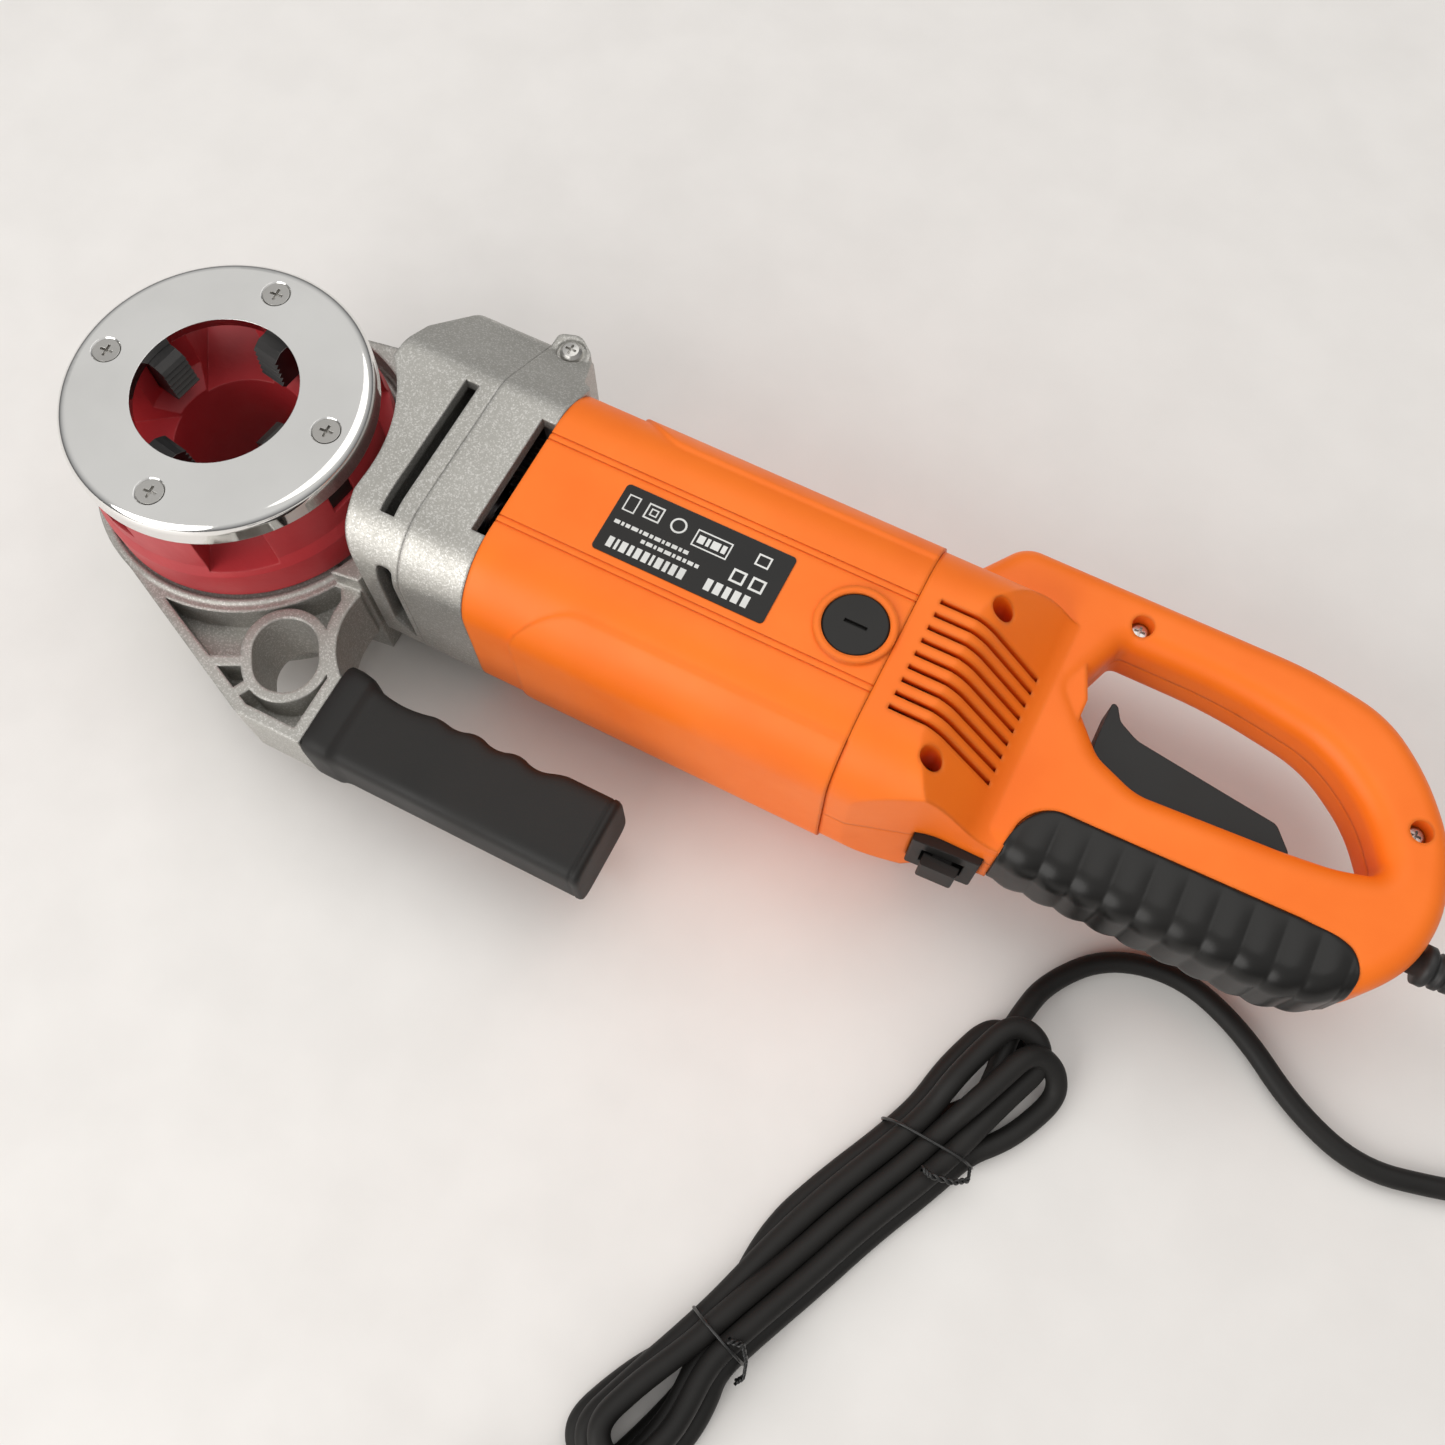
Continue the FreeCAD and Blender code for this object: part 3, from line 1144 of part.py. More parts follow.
def cord():
    """The loose tube from the handle's gland, and the tied hank that the rest is folded into."""
    gland = turned_along_x("cord_gland", [
        (432, "cord_width - 3.7"), (432, 5.2), (440.8, 5.2), (440.8, 7.2), (444, 7), (457, 5.2),
        (457, "cord_width - 3.7")])
    keep(put(gland, 0, 14, 45.8))
    keep(feature("cord_tube", tube(CORD_ROUTE, amount("cord_width") / 2, report=True)))
    half = [(-18, 17, 13), (8, 19.5, 25), (34, 14.5, 12), (80, 16, 60), (126, 12, 12), (160, 17, 25),
            (192, 15, 12), (202, 5, 3)]
    hank = prism("cord_hank", half + [(x, -y, radius) for x, y, radius in reversed(half)], 0.15, HANK_HEIGHT)
    doc.recompute()
    round_off(hank, [f"Face{index + 1}" for index, face in enumerate(hank.Shape.Faces)
                     if face.BoundBox.ZLength < 0.01 and face.BoundBox.ZMin > 1], 5)
    keep(along_hank(hank))
    ties = []
    for index, forward in enumerate(TIES):
        half_width = (15.4, 12.9)[index]
        outside = block(f"tie_{index}", (forward - 1, -half_width - 1.3, 0.3),
                        (forward + 1, half_width + 1.3, HANK_HEIGHT + 1.6))
        inside = block(f"tie_room_{index}", (forward - 2, -half_width, -1),
                       (forward + 2, half_width, HANK_HEIGHT + 0.2))
        ties.append(cut(f"tie_loop_{index}", along_hank(outside), [along_hank(inside)]))
    keep(fuse("cord_ties", ties))


def plug():
    """Flat two-pin mains plug for a double-insulated tool, with its tapered strain relief."""
    upright = Rotation(Vector(0, 1, 0), Vector(0, 0, 1), Vector(1, 0, 0), "ZXY")

    def section(forward, half_width, half_height, corner):
        edges = outline_edges([(-half_width, -half_height, corner), (half_width, -half_height, corner),
                               (half_width, half_height, corner), (-half_width, half_height, corner)])
        wire = Part.Wire([edge.toShape() for edge in edges])
        wire.Placement = Placement(Vector(forward, 0, 12.9), upright)
        return wire

    relief = Part.makeLoft([section(202, 4.6, 4.6, 4.5), section(230, 5.6, 5.6, 5.4)], True, True)
    shell = Part.makeLoft([
        section(226, 11, 9, 5), section(236, 17, 12, 6), section(254, 17.6, 12.6, 6)], True, True)
    body = relief.fuse(shell)
    for side in (-9.5, 9.5):
        body = body.fuse(Part.makeCylinder(2.4, 19.5, Vector(253.5, side, 12.9), Vector(1, 0, 0)))
    keep(along_hank(feature("plug", body)))


cover_plate()
cover_screws()
die_head_body()
dies()
drive_ring()
snap_ring()
ring_bushes()
ring_cover()
gear_train()
upright_shaft()
bearings()
gear_housing()
bearing_plates()
fan_housing()
armature()
stator()
motor_housing()
brush_gear()
bearing_bridge()
motor_screws()
rating_label()
rubber_grip_panel()
rear_handle()
handle_screws()
trigger()
switches()
internal_leads()
front_grip()
cord()
plug()

doc.recompute()
faults = [thing.Name for thing in doc.Objects if "Invalid" in thing.State or "Error" in thing.State]
faults += [name for name, piece in pieces.items() if piece.Shape.isNull() or not piece.Shape.isValid()]
if faults:
    raise RuntimeError("failed objects: " + ", ".join(faults))
os.makedirs("parts", exist_ok=True)
for name, piece in pieces.items():
    piece.Shape.exportStep(f"parts/{name}.step")
    box = piece.Shape.BoundBox
    print(f"{name:24s} solids {len(piece.Shape.Solids)} volume {piece.Shape.Volume:9.0f}"
          f"  x {box.XMin:.1f} {box.XMax:.1f}  y {box.YMin:.1f} {box.YMax:.1f}  z {box.ZMin:.1f} {box.ZMax:.1f}")
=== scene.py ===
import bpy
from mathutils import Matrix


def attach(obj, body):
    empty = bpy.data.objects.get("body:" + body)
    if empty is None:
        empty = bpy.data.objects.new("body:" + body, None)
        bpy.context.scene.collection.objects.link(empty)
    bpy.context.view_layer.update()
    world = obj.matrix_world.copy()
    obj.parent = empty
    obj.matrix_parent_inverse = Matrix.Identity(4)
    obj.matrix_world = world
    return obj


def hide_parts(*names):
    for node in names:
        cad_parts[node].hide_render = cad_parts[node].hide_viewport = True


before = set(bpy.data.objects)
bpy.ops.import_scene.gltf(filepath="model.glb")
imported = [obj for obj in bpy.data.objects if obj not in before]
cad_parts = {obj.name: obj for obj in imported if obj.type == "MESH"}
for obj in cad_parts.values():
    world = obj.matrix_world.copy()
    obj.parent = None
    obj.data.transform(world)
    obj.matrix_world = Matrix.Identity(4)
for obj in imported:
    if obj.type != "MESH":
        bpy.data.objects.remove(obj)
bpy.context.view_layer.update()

import math
import bmesh
import bpy
from mathutils import Euler, Matrix, Vector


# ---------------------------------------------------------------- the camera
# A hand-held camera above the machine, looking down at it from the near side.
camera = bpy.data.objects.new("camera", bpy.data.cameras.new("camera"))
bpy.context.scene.collection.objects.link(camera)
camera.data.lens = 34.88
camera.data.sensor_width = 36
camera.location = (0.2815, -0.1698, 0.499)
aim = Euler((math.radians(21.21), 0, math.radians(27.2))).to_matrix()
camera.rotation_euler = (aim @ Matrix.Rotation(math.radians(-0.31), 3, "Z")).to_euler()
bpy.context.scene.camera = camera


# ---------------------------------------------------------------- mains lead
# Limp black rubber lead, 7.5 mm thick. It leaves the handle through a gland, runs out of sight,
# comes back along the bench and is folded into a hank of three turns and a half.
MM = 0.001
CORD_WIDTH = 7.5 * MM
CORD_EXIT = (0.443, 0.014, 0.0458)
cord_route = [
    (443, 14, 45.8), (470, 14, 45.8), (494, 17, 34), (516, 18, 16), (538.6, 18, 3.9), (553.5, 3, 3.9),
    (553.5, -18, 3.9), (538.6, -33, 3.9), (511, -31, 3.9), (484, -40, 3.9), (458, -46, 3.9), (432, -37, 3.9),
    (408, -20, 3.9), (382, -11, 3.9), (356, -17, 3.9), (340, -36, 6), (335.7, -53, 10.5),
]
HANK_TOP = Vector((337, -73, 0))
HANK_TURN = Matrix.Rotation(math.radians(-113), 3, "Z")
TIES = (34, 126)
# where each run of the hank passes, as (across, height) at the first tie, half way, and at the second
RUNS = [
    ((5, 3.9), (2.6, 3.9), (5, 3.9)), ((-10.2, 3.9), (-12.6, 3.9), (-2.6, 3.9)),
    ((-2.6, 3.9), (-5, 3.9), (1.2, 10.4)), ((-6.4, 10.4), (-8.6, 10.4), (-6.4, 10.4)),
    ((8.8, 10.4), (6.4, 10.4), (5, 16.9)), ((1.2, 10.4), (-1, 10.6), (-2.6, 16.9)),
    ((12.4, 3.9), (10.2, 3.9), (8.8, 10.4)),
]
# each fold: distance along, across, height on the arriving side and on the leaving side
TOP_FOLDS = [(-5, -4.8, 3.9, 3.9), (-8, -0.8, 18.5, 12), (-6, 10, 20, 6)]
LOW_FOLDS = [(172, -0.5, 3.9, 3.9), (169, 1.8, 11.3, 11.3), (165, 4, 18.6, 18.6)]
FOLD_RADIUS = 8.6
# places of a run's control points along the hank, and where it bends towards its folds at each end
RUN_PLACES = (26, 42, 68, 92, 118, 133)
TOP_BEND, LOW_BEND = 14, 148
# how much of the way to the fold's flank a run has gone there, and how long the straight flanks are
BEND_SHARE = 0.75
FLANK_LENGTH = 9
FOLD_STEPS = 4
PLUG_HEIGHT = 12.9


def surface_group():
    """Softened edges, fine grain, a mask of worn edges and a slow mottling, used by every finish."""
    group = bpy.data.node_groups.new("softened_surface", "ShaderNodeTree")
    for name, start in (("Grain Scale", 900.0), ("Grain Depth", 0.00005), ("Edge Radius", 0.0008)):
        socket = group.interface.new_socket(name, in_out="INPUT", socket_type="NodeSocketFloat")
        socket.default_value = start
    for name, kind in (("Normal", "NodeSocketVector"), ("Edge", "NodeSocketFloat"),
                       ("Mottle", "NodeSocketFloat")):
        group.interface.new_socket(name, in_out="OUTPUT", socket_type=kind)
    add = group.nodes.new
    link = group.links.new
    given = add("NodeGroupInput")
    result = add("NodeGroupOutput")
    place = add("ShaderNodeTexCoord")
    grain = add("ShaderNodeTexNoise")
    grain.inputs["Detail"].default_value = 3
    link(place.outputs["Object"], grain.inputs["Vector"])
    link(given.outputs["Grain Scale"], grain.inputs["Scale"])
    soft = add("ShaderNodeBevel")
    soft.samples = 4
    link(given.outputs["Edge Radius"], soft.inputs["Radius"])
    bump = add("ShaderNodeBump")
    bump.inputs["Strength"].default_value = 1
    link(given.outputs["Grain Depth"], bump.inputs["Distance"])
    link(grain.outputs["Fac"], bump.inputs["Height"])
    link(soft.outputs["Normal"], bump.inputs["Normal"])
    flat = add("ShaderNodeNewGeometry")
    facing = add("ShaderNodeVectorMath")
    facing.operation = "DOT_PRODUCT"
    link(soft.outputs["Normal"], facing.inputs[0])
    link(flat.outputs["Normal"], facing.inputs[1])
    edge = add("ShaderNodeMapRange")
    edge.inputs["From Min"].default_value = 0.985
    edge.inputs["From Max"].default_value = 0.85
    link(facing.outputs["Value"], edge.inputs["Value"])
    broken = add("ShaderNodeTexNoise")
    broken.inputs["Scale"].default_value = 130
    broken.inputs["Detail"].default_value = 5
    link(place.outputs["Object"], broken.inputs["Vector"])
    patches = add("ShaderNodeMapRange")
    patches.inputs["From Min"].default_value = 0.42
    patches.inputs["From Max"].default_value = 0.62
    link(broken.outputs["Fac"], patches.inputs["Value"])
    worn = add("ShaderNodeMath")
    worn.operation = "MULTIPLY"
    link(edge.outputs["Result"], worn.inputs[0])
    link(patches.outputs["Result"], worn.inputs[1])
    slow = add("ShaderNodeTexNoise")
    slow.inputs["Scale"].default_value = 28
    slow.inputs["Detail"].default_value = 6
    link(place.outputs["Object"], slow.inputs["Vector"])
    link(bump.outputs["Normal"], result.inputs["Normal"])
    link(worn.outputs["Value"], result.inputs["Edge"])
    link(slow.outputs["Fac"], result.inputs["Mottle"])
    return group


SURFACE = surface_group()


def blend_colours(tree, amount, first, second):
    """A colour mix by a mask. first and second are colours or sockets."""
    mix = tree.nodes.new("ShaderNodeMix")
    mix.data_type = "RGBA"
    tree.links.new(amount, mix.inputs["Factor"])
    for socket, value in ((mix.inputs["A"], first), (mix.inputs["B"], second)):
        if isinstance(value, tuple):
            socket.default_value = (*value, 1)
        else:
            tree.links.new(value, socket)
    return mix.outputs["Result"]


def spread_value(tree, source, low, high, source_low=0.3, source_high=0.7):
    """A value that runs from low to high as the source goes over its usual range."""
    span = tree.nodes.new("ShaderNodeMapRange")
    span.inputs["From Min"].default_value = source_low
    span.inputs["From Max"].default_value = source_high
    span.inputs["To Min"].default_value = low
    span.inputs["To Max"].default_value = high
    tree.links.new(source, span.inputs["Value"])
    return span.outputs["Result"]


def finish(name, colour, second, roughness, metallic=0.0, grain=(900, 0.00005), edge=0.0008,
           worn=None, shine=0.5):
    """A material with mottled colour, varied roughness, grain, softened edges and, if given, worn edges."""
    material = bpy.data.materials.new(name)
    material.use_nodes = True
    tree = material.node_tree
    shader = tree.nodes["Principled BSDF"]
    surface = tree.nodes.new("ShaderNodeGroup")
    surface.node_tree = SURFACE
    surface.inputs["Grain Scale"].default_value = grain[0]
    surface.inputs["Grain Depth"].default_value = grain[1]
    surface.inputs["Edge Radius"].default_value = edge
    mottle = spread_value(tree, surface.outputs["Mottle"], 0, 1, 0.35, 0.65)
    shade = blend_colours(tree, mottle, colour, second)
    if worn:
        shade = blend_colours(tree, surface.outputs["Edge"], shade, worn)
    tree.links.new(shade, shader.inputs["Base Color"])
    tree.links.new(spread_value(tree, surface.outputs["Mottle"], *roughness), shader.inputs["Roughness"])
    tree.links.new(surface.outputs["Normal"], shader.inputs["Normal"])
    shader.inputs["Metallic"].default_value = metallic
    shader.inputs["Specular IOR Level"].default_value = shine
    return material


def new_piece(name, mesh_or_curve, material, body="base", replaces=()):
    """A piece of the machine that rides on a body, with its material."""
    piece = bpy.data.objects.new(name, mesh_or_curve)
    bpy.context.scene.collection.objects.link(piece)
    mesh_or_curve.materials.append(material)
    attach(piece, body)
    if replaces:
        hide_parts(*replaces)
    return piece


def on_hank(along, across, height):
    return HANK_TURN @ Vector((along, across, height)) + HANK_TOP


def part_way(start, end, share):
    return tuple(first + (second - first) * share for first, second in zip(start, end))


def fold(run, place, outward):
    """Control points of a half turn, with the ends of the two runs that it joins."""
    centre, across, height_in, height_out = place
    tie, station = (0, TOP_BEND) if outward < 0 else (2, LOW_BEND)
    flank_in = (across + outward * FOLD_RADIUS, height_in)
    flank_out = (across - outward * FOLD_RADIUS, height_out)
    points = [on_hank(station, *part_way(RUNS[run][tie], flank_in, BEND_SHARE)),
              on_hank(centre - outward * FLANK_LENGTH, *flank_in)]
    turn = math.pi / FOLD_STEPS
    reach = FOLD_RADIUS / math.cos(turn / 2)
    for step in range(FOLD_STEPS):
        angle = math.pi / 2 - turn * (step + 0.5)
        height = height_in + (height_out - height_in) * step / (FOLD_STEPS - 1)
        points.append(on_hank(centre + outward * reach * math.cos(angle),
                              across + outward * reach * math.sin(angle), height))
    points += [on_hank(centre - outward * FLANK_LENGTH, *flank_out),
               on_hank(station, *part_way(RUNS[run + 1][tie], flank_out, BEND_SHARE))]
    return points


def straight_run(run):
    """Control points of a run from the first tie to the second."""
    first, middle, second = RUNS[run]
    before = part_way(first, middle, 0.9)
    after = part_way(middle, second, 0.95)
    sides = (first, first, before, middle, after, second)
    return [on_hank(place, *side) for place, side in zip(RUN_PLACES, sides)]


# over the top folds and down to the first run
hank_route = [on_hank(-10, -6.5, 11.4), on_hank(2, 0, 11.4), on_hank(13, 3.4, 10.8), on_hank(21, 5.2, 8)]
for turn in range(3):
    hank_route += straight_run(2 * turn)
    hank_route += fold(2 * turn, LOW_FOLDS[turn], 1)
    hank_route += reversed(straight_run(2 * turn + 1))
    hank_route += fold(2 * turn + 1, TOP_FOLDS[turn], -1)
hank_route += straight_run(6)
# out of the hank at its lower end and into the plug
LAST_POINTS = [(141, 13.5, 7), (152, 17.2, 4), (168, 18.5, 3.9), (182, 17, 5), (191, 11, 8), (199, 3, 12),
               (208, 0, PLUG_HEIGHT), (232, 0, PLUG_HEIGHT)]
hank_route += [on_hank(*point) for point in LAST_POINTS]

cord_curve = bpy.data.curves.new("mains_lead", "CURVE")
cord_curve.dimensions = "3D"
cord_curve.bevel_depth = CORD_WIDTH / 2
cord_curve.bevel_resolution = 6
cord_curve.resolution_u = 8
cord_curve.use_fill_caps = True
lead = cord_curve.splines.new("NURBS")
lead_points = [Vector(point) for point in cord_route] + hank_route
lead.points.add(len(lead_points) - 1)
for point, place in zip(lead.points, lead_points):
    point.co = (*(place * MM), 1)
lead.order_u = 3
lead.use_endpoint_u = True

cord_rubber = finish("cord_rubber", (0.0075, 0.007, 0.0065), (0.014, 0.013, 0.012), (0.5, 0.66),
                     grain=(1400, 0.00003), edge=0.0002, shine=0.3)
mains_lead = new_piece("mains_lead", cord_curve, cord_rubber,
                       replaces=("cord_tube", "cord_hank"))


# ---------------------------------------------------------------- twist ties
# Two plastic-coated wires, each wound once round the hank, with its ends twisted together.
tie_wire = finish("tie_wire", (0.008, 0.008, 0.008), (0.015, 0.015, 0.015), (0.25, 0.4), edge=0.0001)
ties = bpy.data.curves.new("twist_ties", "CURVE")
ties.dimensions = "3D"
ties.bevel_depth = 0.55 * MM
ties.bevel_resolution = 3
ties.resolution_u = 6
WIRE_TWISTS = 28
TWIST_ANGLE = 1.25
# round the hank at each tie, as (across, height), and how far the wire leans along it
TIE_ROUNDS = [
    [(-14.6, 6), (-12.9, 9.6), (-10.6, 13.6), (-6.4, 14.9), (8.8, 14.9), (13, 13.4), (15, 9.2), (17, 5.5),
     (15.8, 0.6), (1, 0.6), (-13.4, 0.6), (-14.7, 3)],
    [(-10.8, 10.4), (-9, 14.6), (-7, 18.6), (-3.4, 21.4), (5.6, 21.4), (9.2, 18.6), (11.4, 14.6),
     (13.2, 10.4), (11.4, 6), (9.2, 1.8), (5.4, 0.6), (-3.2, 0.6), (-7, 1.8), (-9, 6)],
]
TIE_LEANS = (5.2, 0.8)
# the twisted ends: out at the side, folded back over the hank
TAILS = [[(29, 16.5, 8), (32, 18.4, 10.5), (37, 15.5, 14.4), (41.5, 9, 16.6), (42, 5.5, 16.4)],
         [(124, 4, 22.2), (121.5, 8, 21), (124, 12.5, 17.5), (127.5, 15.5, 13), (130.5, 15, 10.4)]]
for station, outline, lean, tail in zip(TIES, TIE_ROUNDS, TIE_LEANS, TAILS):
    loop = ties.splines.new("NURBS")
    loop.points.add(len(outline) - 1)
    for point, (across, height) in zip(loop.points, outline):
        point.co = (*(on_hank(station - lean * across / 14, across, height) * MM), 1)
    loop.order_u = 3
    loop.use_cyclic_u = True
    for phase in (0, math.pi):
        strand = ties.splines.new("NURBS")
        strand.points.add(WIRE_TWISTS)
        for step, point in enumerate(strand.points):
            share = step / WIRE_TWISTS * (len(tail) - 1)
            leg = min(int(share), len(tail) - 2)
            along, across, height = part_way(tail[leg], tail[leg + 1], share - leg)
            angle = phase + step * TWIST_ANGLE
            place = on_hank(along + 0.6 * math.cos(angle), across + 0.4 * math.cos(angle),
                            height + 0.6 * math.sin(angle))
            point.co = (*(place * MM), 1)
        strand.order_u = 3
        strand.use_endpoint_u = True
twist_ties = new_piece("twist_ties", ties, tie_wire, replaces=("cord_ties",))


# ---------------------------------------------------------------- plug and strain relief
# A flat two-pin rubber plug, moulded on the lead with its ribbed strain relief, and the ribbed
# gland that guards the lead where it leaves the handle.
plug_rubber = finish("plug_rubber", (0.013, 0.013, 0.013), (0.02, 0.02, 0.02), (0.45, 0.6),
                     grain=(1100, 0.00004), edge=0.001)
pin_metal = finish("pin_metal", (0.62, 0.60, 0.55), (0.5, 0.48, 0.44), (0.2, 0.35), metallic=1, edge=0.0004)
UP = Vector((0, 0, 1))
PLUG_ACROSS = HANK_TURN @ Vector((0, 1, 0))
PIN_SPREAD = 9.5
RELIEF_START, RELIEF_PITCH, RELIEF_RIBS = 203, 4.2, 6
RELIEF_WIDTH, RELIEF_GROWTH = 4.5, 0.28
GLAND_START, GLAND_PITCH, GLAND_RIBS = 445.4, 3.6, 3
GLAND_WIDTH, GLAND_TAPER = 6.3, 0.5


def mesh_from(name, build):
    """A smooth-shaded mesh filled by the function build."""
    shape = bmesh.new()
    build(shape)
    bmesh.ops.recalc_face_normals(shape, faces=shape.faces)
    mesh = bpy.data.meshes.new(name)
    shape.to_mesh(mesh)
    shape.free()
    mesh.shade_smooth()
    return mesh


def rounded_ring(shape, centre, across, up, half_width, half_height, squareness, count=40):
    """A ring of vertices round a rounded rectangle; a squareness of 2 gives an ellipse."""
    ring = []
    for step in range(count):
        angle = 2 * math.pi * (step + 0.5) / count
        sideways = math.cos(angle)
        upward = math.sin(angle)
        scale = (abs(sideways) ** squareness + abs(upward) ** squareness) ** (-1 / squareness)
        place = centre + across * (half_width * scale * sideways) + up * (half_height * scale * upward)
        ring.append(shape.verts.new(place))
    return ring


def join_rings(shape, rings):
    """Skins a row of rings and closes both ends."""
    for first, second in zip(rings, rings[1:]):
        for index in range(len(first)):
            following = (index + 1) % len(first)
            shape.faces.new((first[index], first[following], second[following], second[index]))
    shape.faces.new(list(reversed(rings[0])))
    shape.faces.new(rings[-1])


def plug_shell(shape):
    """Rings along the plug: ribbed relief, shoulders, waist with grip hollows, and the flat face."""
    stations = []
    for rib in range(RELIEF_RIBS):
        start = RELIEF_START + rib * RELIEF_PITCH
        width = RELIEF_WIDTH + rib * RELIEF_GROWTH
        stations += [(start, width, width, 2), (start + 0.4, width + 0.7, width + 0.7, 2),
                     (start + 2.4, width + 0.75, width + 0.75, 2), (start + 2.8, width + 0.1, width + 0.1, 2)]
    stations += [(228.4, 8, 7.4, 2.3), (229.5, 11.5, 9.4, 2.6), (232, 14.5, 11, 3), (236, 16.6, 12, 3.4),
                 (240, 16.2, 11.2, 3.6), (244, 15.9, 10.9, 3.8), (248, 16.4, 11.6, 3.8), (251, 17.4, 12.4, 4),
                 (253, 17.4, 12.4, 4), (254, 16.8, 11.8, 4), (254, 15.4, 10.6, 4), (253.4, 14.8, 10, 4)]
    rings = []
    for along, half_width, half_height, squareness in stations:
        centre = on_hank(along, 0, PLUG_HEIGHT) * MM
        rings.append(rounded_ring(shape, centre, PLUG_ACROSS, UP, half_width * MM, half_height * MM,
                                  squareness))
    join_rings(shape, rings)


def plug_pins(shape):
    """Two round pins, each with a thinner root."""
    for side in (-PIN_SPREAD, PIN_SPREAD):
        rings = []
        for along, radius in ((253, 2.0), (263, 2.0), (263, 2.4), (271, 2.4), (272.4, 1.9), (272.8, 1.2)):
            centre = on_hank(along, side, PLUG_HEIGHT) * MM
            rings.append(rounded_ring(shape, centre, PLUG_ACROSS, UP, radius * MM, radius * MM, 2, 24))
        join_rings(shape, rings)


moulded_plug = new_piece("moulded_plug", mesh_from("moulded_plug", plug_shell), plug_rubber,
                         replaces=("plug",))
brass_pins = new_piece("plug_pins", mesh_from("plug_pins", plug_pins), pin_metal)


def gland_rings(shape):
    """Ribbed, tapered strain relief along X, from inside the handle's hole."""
    across = Vector((0, 1, 0))
    profile = [(432, 4.6), (441, 4.6), (441.2, 7.1), (444, 7.1), (444.6, 6.6)]
    for rib in range(GLAND_RIBS):
        start = GLAND_START + rib * GLAND_PITCH
        width = GLAND_WIDTH - rib * GLAND_TAPER
        profile += [(start, width - 0.9), (start + 0.9, width - 0.95)]
        profile += [(start + 1.3, width), (start + 3, width - 0.1)]
    profile += [(456.6, 4.9), (457, 4.3), (456.8, 3.85)]
    rings = []
    for x, radius in profile:
        centre = Vector((x * MM, CORD_EXIT[1], CORD_EXIT[2]))
        rings.append(rounded_ring(shape, centre, across, UP, radius * MM, radius * MM, 2, 36))
    join_rings(shape, rings)


strain_relief = new_piece("strain_relief", mesh_from("strain_relief", gland_rings), plug_rubber,
                          replaces=("cord_gland",))


# ---------------------------------------------------------------- orange plastic housings
# The motor's tube and the two halves of the rear handle are one bright orange nylon, moulded with
# a fine satin texture. Its broad edges are rubbed a little duller in patches.
orange = finish("orange_nylon", (0.97, 0.192, 0.010), (0.93, 0.170, 0.008), (0.38, 0.5),
                grain=(1500, 0.00002), edge=0.0024, worn=(0.84, 0.18, 0.02), shine=0.32)


def dress(material, *names):
    """Gives CAD nodes a material."""
    for name in names:
        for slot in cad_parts[name].material_slots:
            slot.material = material


dress(orange, "motor_housing", "rear_handle_top", "rear_handle_bottom")


# ---------------------------------------------------------------- silver castings
# Gear casing, fan casing and covers are die-cast aluminium under a coarse silver lacquer, whose
# metal flakes sparkle, with a slightly rough skin.
silver = finish("silver_lacquer", (0.45, 0.44, 0.41), (0.39, 0.38, 0.352), (0.34, 0.48), metallic=0.7,
                grain=(1100, 0.00006), edge=0.0016, worn=(0.5, 0.49, 0.46))


def add_flakes(material, scale, strength):
    """Small flakes that are each a little brighter or darker than the lacquer."""
    tree = material.node_tree
    shader = tree.nodes["Principled BSDF"]
    place = tree.nodes.new("ShaderNodeTexCoord")
    flakes = tree.nodes.new("ShaderNodeTexVoronoi")
    flakes.inputs["Scale"].default_value = scale
    tree.links.new(place.outputs["Object"], flakes.inputs["Vector"])
    single = tree.nodes.new("ShaderNodeSeparateColor")
    tree.links.new(flakes.outputs["Color"], single.inputs["Color"])
    bright = spread_value(tree, single.outputs["Red"], 0, strength, 0.6, 1)
    old = shader.inputs["Base Color"].links[0].from_socket
    tree.links.new(blend_colours(tree, bright, old, (0.95, 0.94, 0.92)), shader.inputs["Base Color"])
    rough = spread_value(tree, single.outputs["Green"], 0.34, 0.52, 0, 1)
    tree.links.new(rough, shader.inputs["Roughness"])


add_flakes(silver, 2200, 0.38)
dress(silver, "gear_housing", "fan_housing", "ring_cover")


# ---------------------------------------------------------------- cover plate
# A turned steel ring, chromed and polished, with fine scratches from the workshop.
chrome = finish("worn_chrome", (0.90, 0.895, 0.88), (0.84, 0.835, 0.82), (0.04, 0.13), metallic=1,
                grain=(300, 0.00001), edge=0.0003)
SCRATCH_TURNS = (20, 75, 140)
SCRATCH_SCALE = (30, 2200, 30)


def add_scratches(material, depth):
    """Long thin scratches in three directions, made from stretched noise."""
    tree = material.node_tree
    shader = tree.nodes["Principled BSDF"]
    place = tree.nodes.new("ShaderNodeTexCoord")
    total = None
    for turn in SCRATCH_TURNS:
        mapping = tree.nodes.new("ShaderNodeMapping")
        mapping.inputs["Rotation"].default_value = (0, 0, math.radians(turn))
        mapping.inputs["Scale"].default_value = SCRATCH_SCALE
        noise = tree.nodes.new("ShaderNodeTexNoise")
        noise.inputs["Scale"].default_value = 1
        noise.inputs["Detail"].default_value = 2
        tree.links.new(place.outputs["Object"], mapping.inputs["Vector"])
        tree.links.new(mapping.outputs["Vector"], noise.inputs["Vector"])
        line = spread_value(tree, noise.outputs["Fac"], 0, 1, 0.74, 0.8)
        if total:
            most = tree.nodes.new("ShaderNodeMath")
            most.operation = "MAXIMUM"
            tree.links.new(total, most.inputs[0])
            tree.links.new(line, most.inputs[1])
            total = most.outputs["Value"]
        else:
            total = line
    cut = tree.nodes.new("ShaderNodeBump")
    cut.invert = True
    cut.inputs["Distance"].default_value = depth
    tree.links.new(total, cut.inputs["Height"])
    tree.links.new(shader.inputs["Normal"].links[0].from_socket, cut.inputs["Normal"])
    tree.links.new(cut.outputs["Normal"], shader.inputs["Normal"])


add_scratches(chrome, 0.0000015)
dress(chrome, "cover_plate")


